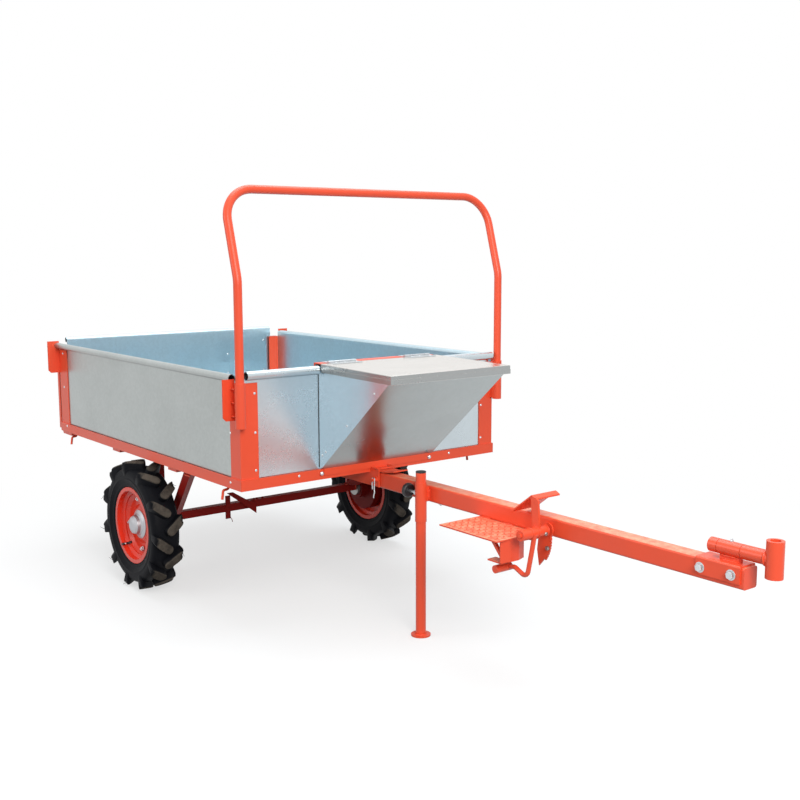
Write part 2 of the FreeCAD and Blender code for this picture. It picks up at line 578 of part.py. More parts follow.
# ---------------------------------------------------------------- tailgate
def tailgate():
    top, bottom = G + GATE_HEIGHT, G + GATE_BOTTOM
    radius = GATE_ROLL_OD / 2
    face_x = GATE_FRONT_X - SHEET
    half = SHEET_FACE_Y
    roll_half = HALF_W - GATE_FRAME_WIDTH - 2
    centre = (GATE_FRONT_X - radius, top - radius)
    sheet = block(face_x, GATE_FRONT_X, -half, half, bottom, G + POST_TOP)
    neck = block(face_x, GATE_FRONT_X, -roll_half, roll_half, G + POST_TOP, centre[1])
    ends = [(centre[0], s * roll_half, centre[1]) for s in (-1, 1)]
    roll = rod(ends[0], ends[1], GATE_ROLL_OD)
    bore = rod(ends[0], ends[1], GATE_ROLL_OD - 2 * SHEET)
    add("tailgate_sheet", sheet.fuse(neck).fuse(roll).cut(bore).removeSplitter())

    def upright(y_outer, width, z0, z1):
        """Folded channel behind the sheet, open towards the sheet."""
        depth, gauge = GATE_FRAME_DEPTH, POST_GAUGE
        outer = block(face_x - depth, face_x, -y_outer, -y_outer + width, z0, z1)
        inner = block(face_x - depth + gauge, face_x, -y_outer + gauge, -y_outer + width - gauge, z0, z1)
        return outer.cut(inner)

    frames = both_sides(upright(POST_FACE_Y, GATE_FRAME_WIDTH, bottom, G + POST_TOP))
    frames += both_sides(upright(265, GATE_FRAME_WIDTH - 2, bottom, G + POST_TOP - 20))

    hinges, brackets = [], []
    pivot_z = GATE_HINGE_Z
    for side in (-1, 1):
        y = side * GATE_HINGE_Y
        fixed = knuckles(GATE_HINGE_X, pivot_z, y, 90, GATE_KNUCKLE_OD, GATE_PIN_OD, 3, True)
        y0, y1 = fixed[0].BoundBox.YMin, fixed[0].BoundBox.YMax
        arm = block(GATE_HINGE_X, REAR_X, y0, y1, pivot_z, pivot_z + GATE_KNUCKLE_OD / 2)
        brackets.append(fuse(fixed + [arm]))
        moving = knuckles(GATE_HINGE_X, pivot_z, y, 90, GATE_KNUCKLE_OD, GATE_PIN_OD, 3, False)
        straps = []
        for k in moving:
            y0, y1 = k.BoundBox.YMin, k.BoundBox.YMax
            straps.append(block(face_x - POST_GAUGE * 2, face_x, y0, y1, pivot_z, bottom + 60))
        bore = rod((GATE_HINGE_X, y - 60, pivot_z), (GATE_HINGE_X, y + 60, pivot_z),
                   GATE_PIN_OD + 2 * RUNNING_CLEARANCE)
        cross = block(face_x - POST_GAUGE * 2, face_x, y - 45, y + 45, bottom + 30, bottom + 60)
        hinges.append(fuse(moving + straps + [cross]).cut(bore))
    add("tailgate_frame", *frames)
    add("tailgate_hinges", *hinges)
    add("tailgate_brackets", *brackets)

    latches = []
    z = G + LATCH_RISE
    for side in (-1, 1):
        base = block(face_x - GATE_FRAME_DEPTH - LATCH_GAUGE, face_x - GATE_FRAME_DEPTH,
                     min(side * LATCH_Y[0], side * LATCH_Y[1]), max(side * LATCH_Y[0], side * LATCH_Y[1]),
                     z - LATCH_HEIGHT / 2, z + LATCH_HEIGHT / 2)
        latches.append(base)
    add("tailgate_latches", *latches)


# ---------------------------------------------------------------- running gear
def tyre_profile():
    half, radius = TYRE_WIDTH / 2, TYRE_OD / 2
    bead_half = RIM_WIDTH / 2 - RIM_GAUGE
    seat = RIM_SEAT_RADIUS
    wall = TYRE_WALL
    lip = RIM_RADIUS + 1
    return [(-bead_half, seat), (-bead_half, lip), (-half + 4, seat + 40), (-half, radius - 44),
            (-half + 2, radius - 20), (-half + 10, radius - 6), (-half + 26, radius), (half - 26, radius),
            (half - 10, radius - 6), (half - 2, radius - 20), (half, radius - 44), (half - 4, seat + 40),
            (bead_half, lip), (bead_half, seat), (bead_half - wall, seat),
            (bead_half - wall + 2, seat + 14), (half - 5 - wall, seat + 40), (half - wall, radius - 44),
            (half - 12 - wall, radius - 12 - wall), (-half + 12 + wall, radius - 12 - wall),
            (-half + wall, radius - 44), (-half + 5 + wall, seat + 40), (-bead_half + wall - 2, seat + 14),
            (-bead_half + wall, seat)]


def rim_profile():
    half, g = RIM_WIDTH / 2, RIM_GAUGE
    seat, edge = RIM_SEAT_RADIUS, RIM_RADIUS
    disc = half - DISC_RECESS
    well = seat - 12
    return [(-half, edge), (-half, seat - g), (-half + 18, seat - g), (-half + 24, well - g),
            (disc - 12, well - g), (disc - 12, 66), (disc - 4, 52), (disc - 4, HUB_RADIUS),
            (disc + g - 4, HUB_RADIUS), (disc + g - 4, 54), (disc + g - 10, 68), (disc + g - 10, 92),
            (disc + 2, well - g), (half - 24, well - g), (half - 18, seat - g), (half, seat - g), (half, edge),
            (half - g, edge), (half - g, seat), (half - 20, seat), (half - 26, well), (-half + 26, well),
            (-half + 20, seat), (-half + g, seat), (-half + g, edge)]


def hub_profile():
    disc = RIM_WIDTH / 2 - DISC_RECESS
    bore = SPINDLE_OD / 2 + RUNNING_CLEARANCE
    inner = disc - 12 - 6
    drum_in = -RIM_WIDTH / 2 - 6
    drum = DRUM_RADIUS
    return [(disc + 10, bore), (disc + 10, 30), (disc - 4, 30), (disc - 4, 51), (inner, 51), (inner, drum),
            (inner - 4, drum + 4), (drum_in, drum + 4), (drum_in, drum - 4), (inner - 6, drum - 4),
            (inner - 6, 40), (drum_in + 6, 34), (drum_in + 6, bore)]


def cap_profile():
    """Bell of pressed sheet over the hub's barrel."""
    disc = RIM_WIDTH / 2 - DISC_RECESS
    outside = [(-0.5, 49), (1.5, 49), (3, 46), (7, 38), (12, 34), (22, 31.5), (28, 27), (32, 17), (33, 0)]
    inside = [(31, 0), (30, 14), (26, 24.5), (20.5, 29), (11, 31.5), (5.5, 35.5), (1.5, 43), (-0.5, 43)]
    return [(disc + along, radius) for along, radius in outside + inside]


def wheels():
    for name, side in (("right", -1), ("left", 1)):
        centre = side * HALF_TRACK
        add("tyre_%s" % name, turned(tyre_profile(), centre, side))
        add("rim_%s" % name, turned(rim_profile(), centre, side))
        add("hub_%s" % name, turned(hub_profile(), centre, side))
        add("hub_cap_%s" % name, turned(cap_profile(), centre, side))


def axle():
    half, beam_z = AXLE_TUBE / 2, WHEEL_Z + AXLE_RISE
    inside = half - AXLE_TUBE_WALL
    bar = block(AXLE_X - half, AXLE_X + half, -AXLE_HALF_LENGTH, AXLE_HALF_LENGTH, beam_z - half, beam_z + half)
    add("axle_beam", bar.cut(block(AXLE_X - inside, AXLE_X + inside, -AXLE_HALF_LENGTH, AXLE_HALF_LENGTH,
                                   beam_z - inside, beam_z + inside)))

    disc = RIM_WIDTH / 2 - DISC_RECESS
    tip = HALF_TRACK + disc + 8
    root = -AXLE_HALF_LENGTH - 12
    collar = rod((AXLE_X, -AXLE_HALF_LENGTH, WHEEL_Z), (AXLE_X, root, WHEEL_Z), 56)
    spindle = fuse([rod((AXLE_X, root, WHEEL_Z), (AXLE_X, -tip, WHEEL_Z), SPINDLE_OD), collar])
    add("spindles", *both_sides(spindle))

    drum_face = HALF_TRACK - RIM_WIDTH / 2 - 6
    face = drum_face - 2
    plate_disc = rod((AXLE_X, -face + BACKPLATE_GAUGE, WHEEL_Z), (AXLE_X, -face, WHEEL_Z), 2 * BACKPLATE_RADIUS)
    flange = rod((AXLE_X, root, WHEEL_Z), (AXLE_X, -face + BACKPLATE_GAUGE, WHEEL_Z), 80)
    bore = rod((AXLE_X, -AXLE_HALF_LENGTH, WHEEL_Z), (AXLE_X, -face - 1, WHEEL_Z), SPINDLE_OD + 1)
    backplate = fuse([plate_disc, flange]).cut(bore)
    add("brake_backplates", *both_sides(backplate))

    overshoot = 60
    foot, head = V(AXLE_X, -STRUT_FOOT_Y, beam_z), V(AXLE_X + STRUT_REACH, -STRUT_TOP_Y, G)
    along = (head - foot).normalize()
    strut = beam(tuple(foot - along * overshoot), tuple(head + along * overshoot), STRUT_SIZE)
    strut = strut.common(block(AXLE_X - half, AXLE_X + STRUT_REACH + overshoot, -HALF_W, 0, beam_z + half, G))
    reach = STRUT_SIZE / 2
    post = block(AXLE_X - reach, AXLE_X + reach, -AXLE_POST_Y - reach, -AXLE_POST_Y + reach,
                 WHEEL_Z + 30, FLOOR_Z - RAIL_GAUGE).cut(backplate)
    for pad in NODES["cross_members"].Solids:
        strut = strut.cut(pad)
    add("axle_struts", *(both_sides(strut) + both_sides(post)))


# ---------------------------------------------------------------- drawbar and its fittings
def drawbar():
    heel_half = GUIDE_HALF - HEEL_SIDE_GAP
    pin_half = GUIDE_HALF + LUG_GAUGE + 8
    heel = rod((AXLE_X, -heel_half, PIVOT_Z), (AXLE_X, heel_half, PIVOT_Z), HEEL_OD)
    pin = rod((AXLE_X, -pin_half, PIVOT_Z), (AXLE_X, pin_half, PIVOT_Z), PIVOT_OD)
    add("drawbar_heel", fuse([heel, pin]))

    tube = square_tube(AXLE_X, BAR_FRONT - 4, BAR_SIZE, BAR_WALL, BAR_CORNER, PIVOT_Z)
    cap_wire = rounded_square(BAR_SIZE, BAR_CORNER, 0, PIVOT_Z, BAR_FRONT - 4)
    cap = Part.Face(cap_wire).extrude(V(4, 0, 0))
    tail = block(AXLE_X - 1, AXLE_X + 6, -BAR_SIZE, BAR_SIZE, BAR_BOTTOM - 1, BAR_TOP + 1)
    add("drawbar", fuse([tube, cap]).cut(tail).cut(heel))


def guide_channel():
    """Inverted channel under the bed that drops over the bar, with a turned-up tongue ahead of the rail."""
    inner = BAR_HALF + GUIDE_GAP
    outside = block(GUIDE_REAR, GUIDE_FRONT, -GUIDE_HALF, GUIDE_HALF, BAR_BOTTOM + 3, GUIDE_TOP)
    inside = block(GUIDE_REAR, GUIDE_FRONT, -inner, inner, BAR_BOTTOM + 3, BAR_TOP + GUIDE_GAP)
    z0, z1 = BAR_TOP + GUIDE_GAP, GUIDE_TOP
    tongue = plate([(GUIDE_FRONT, -inner, z0), (GUIDE_FRONT + 30, -inner, z0), (GUIDE_TONGUE, -inner, z0 + 8),
                    (GUIDE_TONGUE, -inner, z1 + 8), (GUIDE_FRONT + 30, -inner, z1), (GUIDE_FRONT, -inner, z1)],
                   (0, 2 * inner, 0))
    add("guide_channel", fuse([outside.cut(inside), tongue]))

    x, z = 34.0, G - 20
    head = rod((x, -GUIDE_HALF - 4, z), (x, -GUIDE_HALF, z), 18)
    tail = rod((x, -GUIDE_HALF - 18, z), (x, -GUIDE_HALF - 4, z), 10)
    add("lock_pin", fuse([head, tail]))


def stand():
    top, bottom = G + STAND_SLEEVE_TOP, G + STAND_SLEEVE_BOTTOM
    centre = (STAND_X, STAND_Y)
    inner = STAND_LEG_OD + 2 * STAND_CLEARANCE
    tube = rod(centre + (bottom,), centre + (top,), STAND_SLEEVE_OD)
    web = block(STAND_X - 8, STAND_X + 8, STAND_Y, -BAR_HALF, BAR_BOTTOM + 2, BAR_TOP - 2)
    bore = rod(centre + (bottom - 1,), centre + (top + 1,), inner)
    add("stand_sleeve", fuse([tube, web]).cut(bore))

    z = G - 19
    wall_x = STAND_X - STAND_SLEEVE_OD / 2 + 1
    grip_x = wall_x - KNOB_REACH
    stem = rod((wall_x, STAND_Y, z), (grip_x - 4, STAND_Y, z), 9)
    nut = rod((wall_x - 1, STAND_Y, z), (wall_x - 9, STAND_Y, z), 16)
    grip = rod((grip_x, STAND_Y, z), (grip_x - KNOB_THICK, STAND_Y, z), KNOB_OD)
    grip = grip.makeFillet(6, [e for e in grip.Edges if abs(e.Length - math.pi * KNOB_OD) < 0.1])
    clear = rod(centre + (bottom,), centre + (top,), STAND_SLEEVE_OD)
    add("stand_clamp", fuse([stem, nut]).cut(clear))
    add("stand_knob", grip.cut(stem))

    leg_top = G + STAND_LEG_TOP
    foot_top = STAND_FOOT_THICK
    foot = rod(centre + (0,), centre + (foot_top,), STAND_FOOT_OD)
    leg = pipe(centre + (foot_top,), centre + (leg_top,), STAND_LEG_OD, STAND_LEG_OD - 2 * STAND_LEG_WALL)
    add("stand_leg", fuse([foot, leg]))
    cap = rod(centre + (leg_top,), centre + (leg_top + 4,), STAND_LEG_OD)
    add("stand_cap", cap)


def footrest():
    x0, x1 = FOOTREST
    top, bottom = BAR_BOTTOM, BAR_BOTTOM - FOOTREST_GAUGE
    low, gauge = bottom - APRON_DEPTH, FOOTREST_GAUGE
    tread = block(x0, x1, -FOOTREST_Y, BAR_HALF, bottom, top)
    y0, y1 = APRON_Y
    third = (y0 - y1) / 3
    outline = [(x1 - 9, -y0), (x1, -y0 + third), (x1, -y1 - third), (x1 - 11, -y1),
               (x1 - 11 - gauge, -y1 - 2), (x1 - gauge, -y1 - third - 1), (x1 - gauge, -y0 + third + 1),
               (x1 - 9 - gauge, -y0 + 1)]
    apron = plate([(x, y, bottom) for x, y in outline], (0, 0, -APRON_DEPTH))
    brace = beam((x1 - 60, -y0 + 12, top), (x1 - 8, -y0 + 12, low + 8), 9)
    brace = brace.common(block(x0, x1 - 10, -FOOTREST_Y, 0, low, bottom)).cut(apron)
    shelf = block(x1 - 62, x1 - 9, -y0 + 4, -y0 + 34, low - gauge, low)
    add("footrest", fuse([tread, apron, brace, shelf]))


def brake_control():
    x, z = PEDAL_X, G - PEDAL_DROP
    y = -PEDAL_Y
    shaft = rod((x, -BAR_HALF, z), (x, -CROSS_TUBE_Y[0] - 4, z), 12)
    add("brake_shaft", shaft)

    ridge, toe = (x - 19, G + 63), (x - 91, G + 9)
    thick = 4.0
    arm = plate([(x - 13, y, z + 4), (x + 11, y, z + 4), (x + 5, y, ridge[1] - 8), (x - 4, y, ridge[1]),
                 (x - 22, y, ridge[1] - 2)], (0, -6, 0))
    tube = rod((x, -CROSS_TUBE_Y[0], z), (x, -CROSS_TUBE_Y[1], z), CROSS_TUBE_OD)
    slope = math.hypot(ridge[0] - toe[0], ridge[1] - toe[1])
    nx, nz = -(ridge[1] - toe[1]) / slope * thick, (ridge[0] - toe[0]) / slope * thick
    pad = plate([(toe[0], y - 6, toe[1]), (ridge[0], y - 6, ridge[1]),
                 (ridge[0] + 14, y - 6, ridge[1] - 7), (ridge[0] + 14, y - 6, ridge[1] - 7 + thick),
                 (ridge[0] + nx / 3, y - 6, ridge[1] + thick), (toe[0] + nx, y - 6, toe[1] + nz)], (0, 92, 0))
    pedal = fuse([arm, tube, pad]).cut(shaft)
    add("brake_pedal", pedal)

    lever_y = y - 22
    lever = bent_bar([(x + 11, lever_y, z), (x + 2, lever_y, z - 46), (x - 15, lever_y, z - 124),
                      (x - 60, lever_y, z - 104), (x - 89, lever_y, z - 109)], [60, 16, 14], 13)
    peg = rod((x - 89, lever_y + 10, z - 109), (x - 89, lever_y - 46, z - 109), 22)
    add("brake_lever", fuse([lever, peg]).cut(tube))

    face = -BAR_HALF - 1
    centre_x, centre_z, radius = x - 89, z - 24, 104.0
    points = [(x - 30, z - 14), (x + 6, z - 10)]
    teeth, start, sweep = 8, 2.0, -38.0
    for i in range(teeth):
        for step, bite in ((0.0, 0.0), (0.75, 0.0), (0.8, 6.0), (1.0, 6.0)):
            a = math.radians(start + sweep * (i + step) / teeth)
            points.append((centre_x + (radius - bite) * math.cos(a), centre_z + (radius - bite) * math.sin(a)))
    points += [(x - 28, z - 103), (x - 36, z - 60)]
    sector = plate([(px, face, pz) for px, pz in points], (0, -5, 0))
    eye = rod((x, face, z), (x, face - 5, z), 40)
    spacer = block(x - 14, x + 14, face, face + 1, BAR_BOTTOM, z + 12)
    add("ratchet_sector", fuse([sector, eye, spacer]).cut(shaft))


def hitch():
    x0, x1 = SADDLE
    inner, outer = BAR_HALF, BAR_HALF + SADDLE_GAUGE
    top = BAR_TOP + SADDLE_GAUGE
    bottom = BAR_TOP - SADDLE_CHEEK
    saddle = block(x0, x1, -outer, outer, bottom, top)
    saddle = saddle.makeFillet(5, [e for e in saddle.Edges if abs(e.CenterOfMass.z - top) < 0.01
                                   and abs(abs(e.CenterOfMass.y) - outer) < 0.01])
    saddle = saddle.cut(block(x0 - 1, x1 + 1, -inner, inner, bottom - 1, BAR_TOP))
    add("hitch_saddle", saddle)

    z = G + SWIVEL_RISE
    b0, b1 = BARREL
    bore = SWIVEL_ROD_OD + 2 * RUNNING_CLEARANCE
    barrel = rod((b0, 0, z), (b1, 0, z), SWIVEL_OD)
    web = block(b0 + 6, b1 - 6, -9, 9, top, z)
    add("swivel_barrel", fuse([barrel, web]).cut(rod((b0 - 1, 0, z), (b1 + 1, 0, z), bore)))

    collar = rod((COLLAR_REAR, 0, z), (b0 - SWIVEL_GAP, 0, z), SWIVEL_OD)
    shaft = rod((COLLAR_REAR, 0, z), (HITCH_X, 0, z), SWIVEL_ROD_OD)
    shank = rod((b1 + SWIVEL_GAP, 0, z), (HITCH_X, 0, z), SWIVEL_OD)
    tube_z = z - HITCH_HEIGHT / 2
    tube = rod((HITCH_X, 0, tube_z), (HITCH_X, 0, tube_z + HITCH_HEIGHT), HITCH_OD)
    hole = rod((HITCH_X, 0, tube_z - 1), (HITCH_X, 0, tube_z + HITCH_HEIGHT + 1), HITCH_BORE)
    add("hitch_swivel", fuse([collar, shaft, shank, tube]).cut(hole))


def rope_hooks():
    hooks = []
    for x in ROPE_HOOK_X:
        y = -HALF_W + 18
        hook = bent_bar([(x, y + 10, G), (x, y + 10, G - 16), (x, y - 8, G - 18), (x, y - 12, G - 46)],
                        [6, 6], 8)
        for pad in NODES["cross_members"].Solids:
            hook = hook.cut(pad)
        hooks += both_sides(hook)
    add("rope_hooks", *hooks)


# ---------------------------------------------------------------- build and export
def build():
    bed_frame()
    posts_and_guards()
    walls()
    hoop()
    seat_box()
    lid()
    tailgate()
    wheels()
    axle()
    drawbar()
    guide_channel()
    stand()
    footrest()
    brake_control()
    hitch()
    rope_hooks()


def export():
    os.makedirs("parts", exist_ok=True)
    for name, shape in NODES.items():
        moved = shape.copy()
        moved.translate(V(-X_MIDDLE, 0, 0))
        moved.exportStep("parts/%s.step" % name)


build()
export()
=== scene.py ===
"""Single-axle trailer for a walk-behind tractor: finishes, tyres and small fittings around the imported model.

Positions in millimetres are measured from the bed: ahead of the bottom rail's front face, left of the
centre line and above the rails' underside.  at() turns them into metres in the model's frame.
"""
import json
import math
import random

import bmesh
import bpy
from mathutils import Matrix, Vector


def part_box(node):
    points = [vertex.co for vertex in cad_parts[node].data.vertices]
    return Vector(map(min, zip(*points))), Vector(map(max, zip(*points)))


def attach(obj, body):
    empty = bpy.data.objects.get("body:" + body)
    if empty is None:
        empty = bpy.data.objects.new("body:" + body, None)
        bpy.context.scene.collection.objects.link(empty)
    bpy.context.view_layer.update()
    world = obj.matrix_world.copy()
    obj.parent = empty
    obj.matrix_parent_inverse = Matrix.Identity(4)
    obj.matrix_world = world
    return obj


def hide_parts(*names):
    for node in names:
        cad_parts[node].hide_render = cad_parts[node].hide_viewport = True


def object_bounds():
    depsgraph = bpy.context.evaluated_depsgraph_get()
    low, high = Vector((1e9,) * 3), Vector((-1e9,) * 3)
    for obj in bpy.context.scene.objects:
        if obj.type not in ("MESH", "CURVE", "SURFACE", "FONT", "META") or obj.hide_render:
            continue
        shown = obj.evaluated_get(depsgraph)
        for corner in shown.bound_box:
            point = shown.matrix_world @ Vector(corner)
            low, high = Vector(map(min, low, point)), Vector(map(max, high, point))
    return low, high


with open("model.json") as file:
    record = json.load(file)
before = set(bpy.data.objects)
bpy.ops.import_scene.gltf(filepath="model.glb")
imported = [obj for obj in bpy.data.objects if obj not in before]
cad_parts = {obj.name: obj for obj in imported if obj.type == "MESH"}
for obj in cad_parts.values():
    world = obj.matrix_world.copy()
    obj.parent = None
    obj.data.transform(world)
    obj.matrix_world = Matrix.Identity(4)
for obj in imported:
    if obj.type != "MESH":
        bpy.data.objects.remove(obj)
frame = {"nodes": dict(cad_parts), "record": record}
cad_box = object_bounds()

bl_info = {
    "name": "Walk-Behind Tractor Trailer",
    "version": (1, 0, 0),
    "blender": (4, 5, 0),
    "location": "View3D > Sidebar > Trailer",
    "description": "Finishes, tyres and small fittings for a single-axle trailer with a galvanised load bed",
    "category": "Object",
}

bed_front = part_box("side_rails")[1].x
rail_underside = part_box("side_rails")[0].z


def at(x, y, z):
    """A place in metres from millimetres ahead, left and above."""
    return Vector((bed_front + x / 1000, y / 1000, rail_underside + z / 1000))


def middle(node):
    low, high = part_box(node)
    return (low + high) / 2


wheel_centres = {side: middle("rim_" + side) for side in ("right", "left")}
outward = {"right": -1, "left": 1}
tyre_radius = (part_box("tyre_right")[1].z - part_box("tyre_right")[0].z) / 2
load_centre = middle("floor") + Vector((0.0, 0.0, 0.17))
ahead, rightward, up = Vector((1, 0, 0)), Vector((0, -1, 0)), Vector((0, 0, 1))
rail_rivet_height, sheet_rivet_height = 0.0022, 0.0018
ripple_pitch = 0.0016

# parts with a finish other than their slot's; a part with the same name as a finish takes that one
finish_of = {"footrest": "drawbar", "axle_beam": "axle", "axle_struts": "axle", "hub_cap_right": "hub_cap",
             "hub_cap_left": "hub_cap", "brake_shaft": "paint_red"}


def linear(code):
    """sRGB hex value to linear RGBA."""
    parts = [int(code[i:i + 2], 16) / 255 for i in (1, 3, 5)]
    return tuple(p / 12.92 if p <= 0.04045 else ((p + 0.055) / 1.055) ** 2.4 for p in parts) + (1.0,)


pure_white = linear("#FFFFFF")


def shade(colour, factor):
    return tuple(min(1.0, c * factor) for c in colour[:3]) + (1.0,)


# ---- settings
def length(name, description, default):
    return bpy.props.FloatProperty(name=name, description=description, default=default, min=0.0,
                                   unit="LENGTH", subtype="DISTANCE", precision=4)


def colour(name, description, code):
    return bpy.props.FloatVectorProperty(name=name, description=description, default=linear(code), size=4,
                                         min=0.0, max=1.0, subtype="COLOR")


class TrailerSizes(bpy.types.PropertyGroup):
    lugs_per_side: bpy.props.IntProperty(
        name="Lugs per side", description="Tread bars on each half of a tyre", default=11, min=6, max=20)
    lug_width: length("Lug width", "Width of a tread bar's top", 0.030)
    whisker: length("Moulding whisker", "Length of the rubber whiskers left on new tyres", 0.030)
    rivet: length("Rivet head", "Diameter of the blind rivets in the bed", 0.0085)
    wheel_bolt: length("Wheel bolt", "Width across flats of the wheel bolts", 0.014)
    hitch_bolt: length("Hitch bolt", "Width across flats of the bolts in the hitch saddle", 0.017)
    weld: length("Weld bead", "Width of the weld beads", 0.005)
    tread_plate_pitch: length("Tread plate pitch", "Spacing of the raised bars on the footrest", 0.024)


class TrailerColours(bpy.types.PropertyGroup):
    paint: colour("Powder coat", "Frame, posts, hoop and drawbar", "#EE5434")
    enamel: colour("Rim enamel", "Wheel rims", "#EA3A22")
    # painted shade: the drums' dark red stands in for the shade inside the wheels
    drum_red_painted_shade: colour("Drum enamel", "Brake drums and backplates", "#7A1512")
    # painted shade: the axle's red is darkened for the shade under the bed
    axle_red_painted_shade: colour("Axle paint", "Axle, its struts and its brake levers", "#A01F19")
    galvanised: colour("Galvanised sheet", "Outer faces of the bed's sheets", "#ABB0AF")
    # painted reflection: the inner faces' blue is the sky's reflection painted into the zinc
    inner_sheet_painted_sky: colour("Sheltered sheet", "Inner faces of the bed, where zinc stays blue", "#BDD1DA")
    # painted shade: the sloping front is darkened for the dark ground it mirrors
    seat_front_painted_shade: colour("Seat box sheet", "Sloping front of the seat box", "#A0A5A5")
    front_galvanised: colour("Front wall sheet", "Front wall of the bed", "#C6D0D5")
    # painted reflection: the sides' blue is the sky's reflection painted onto the zinc
    seat_sides_painted_sky: colour("Seat box sides", "Upright sides of the seat box", "#D2E4EF")
    # painted light: the lid's top is a lit copy of the skirt's zinc
    lid_top_painted_light: colour("Lid sheet", "Top of the lid", "#DDD9D4")
    # painted shade: the skirt is a shaded copy of the lid's zinc
    lid_skirt_painted_shade: colour("Lid skirt", "Folded edges of the lid", "#A8ABAB")
    cap_zinc: colour("Hub caps", "Pressed caps on the hubs", "#B4B5B9")
    # painted sheen: this colour is dust on the upper faces and also the sky's sheen painted onto them
    weathered: colour("Settled dust", "Film on the drawbar's and the footrest's upper faces", "#F6D2A8")
    zinc: colour("Zinc plate", "Bolts, rivets and hinges", "#CDD1D4")
    steel: colour("Turned steel", "Spindles and bare ends", "#9B9B99")
    rubber: colour("Rubber", "Tyres", "#121317")
    dust: colour("Dust", "Dust on top of the tread bars", "#5C554D")
    plastic: colour("Plastic", "Knob, caps and cable", "#1C1D20")
    floor: colour("Floor", "Studio floor", "#F7F7F7")


# ---- node materials
def add_node(tree, kind, inputs=None, **settings):
    """Adds one node, sets it, and fills its inputs with values or with links from other nodes' outputs."""
    made = tree.nodes.new(kind)
    for key, value in settings.items():
        setattr(made, key, value)
    for key, value in (inputs or {}).items():
        if isinstance(value, bpy.types.NodeSocket):
            tree.links.new(value, made.inputs[key])
        else:
            made.inputs[key].default_value = value
    return made


def per_mm(size):
    """Texture scale whose features are this many millimetres across."""
    return 1000.0 / size


def new_material(name, build, *values):
    """Makes a material: its builder adds nodes on the object's coordinates and returns the shader."""
    made = bpy.data.materials.new(name)
    made.use_nodes = True
    tree = made.node_tree
    tree.nodes.clear()
    shader = build(tree, add_node(tree, "ShaderNodeTexCoord").outputs, *values)
    add_node(tree, "ShaderNodeOutputMaterial", {"Surface": shader.outputs[0]})
    return made


def powder_coated_steel(tree, place, paint, roughness=0.33, film=None, specular=0.42):
    """Powder coat on steel: an even, softly glossy colour whose faint orange peel breaks up highlights.

    A film colour pales the faces that look up: settled dust, and a painted sheen of the sky.
    """
    where = place["Object"]
    # thickness of the coat drifts over a hand's breadth
    drift = add_node(tree, "ShaderNodeTexNoise",
                     {"Vector": where, "Scale": per_mm(140), "Detail": 3.0}).outputs[0]
    tone = add_node(tree, "ShaderNodeMix", {0: drift, 6: shade(paint, 0.9), 7: shade(paint, 1.06)},
                    data_type="RGBA").outputs[2]
    # specks of overspray and dust nibs, 2 mm, only where the noise peaks
    nibs = add_node(tree, "ShaderNodeTexNoise",
                    {"Vector": where, "Scale": per_mm(2.2), "Detail": 1.0}).outputs[0]
    specks = add_node(tree, "ShaderNodeMapRange", {0: nibs, 1: 0.72, 2: 0.8, 4: 0.35}).outputs[0]
    base = add_node(tree, "ShaderNodeMix", {0: specks, 6: tone, 7: shade(paint, 0.7)},
                    data_type="RGBA").outputs[2]
    if film:
        # dust and a painted sky sheen pale what looks up, in patches a couple of centimetres across
        upward = add_node(tree, "ShaderNodeSeparateXYZ", {0: place["Normal"]}).outputs[2]
        dust_and_sheen_upward = add_node(tree, "ShaderNodeMapRange", {0: upward, 1: 0.7, 2: 0.95}).outputs[0]
        patches = add_node(tree, "ShaderNodeTexNoise",
                           {"Vector": where, "Scale": per_mm(22), "Detail": 5.0}).outputs[0]
        cover = add_node(tree, "ShaderNodeMapRange", {0: patches, 1: 0.3, 2: 0.7, 3: 0.1, 4: 0.5}).outputs[0]
        amount = add_node(tree, "ShaderNodeMath", {0: dust_and_sheen_upward, 1: cover}, operation="MULTIPLY").outputs[0]
        base = add_node(tree, "ShaderNodeMix", {0: amount, 6: base, 7: film}, data_type="RGBA").outputs[2]
    gloss = add_node(tree, "ShaderNodeMapRange",
                     {0: drift, 1: 0.3, 2: 0.7, 3: roughness - 0.05, 4: roughness + 0.07}).outputs[0]
    # orange peel is about 3 mm from crest to crest, and the edges of folded steel are never sharp
    rounded = add_node(tree, "ShaderNodeBevel", {"Radius": 0.0011}, samples=3).outputs[0]
    peel = add_node(tree, "ShaderNodeTexNoise",
                    {"Vector": where, "Scale": per_mm(3.2), "Detail": 1.0}).outputs[0]
    bump = add_node(tree, "ShaderNodeBump",
                    {"Height": peel, "Strength": 0.09, "Distance": 0.0005, "Normal": rounded}).outputs[0]
    return add_node(tree, "ShaderNodeBsdfPrincipled", {
        "Base Color": base, "Roughness": gloss, "IOR": 1.5, "Specular IOR Level": specular, "Normal": bump})


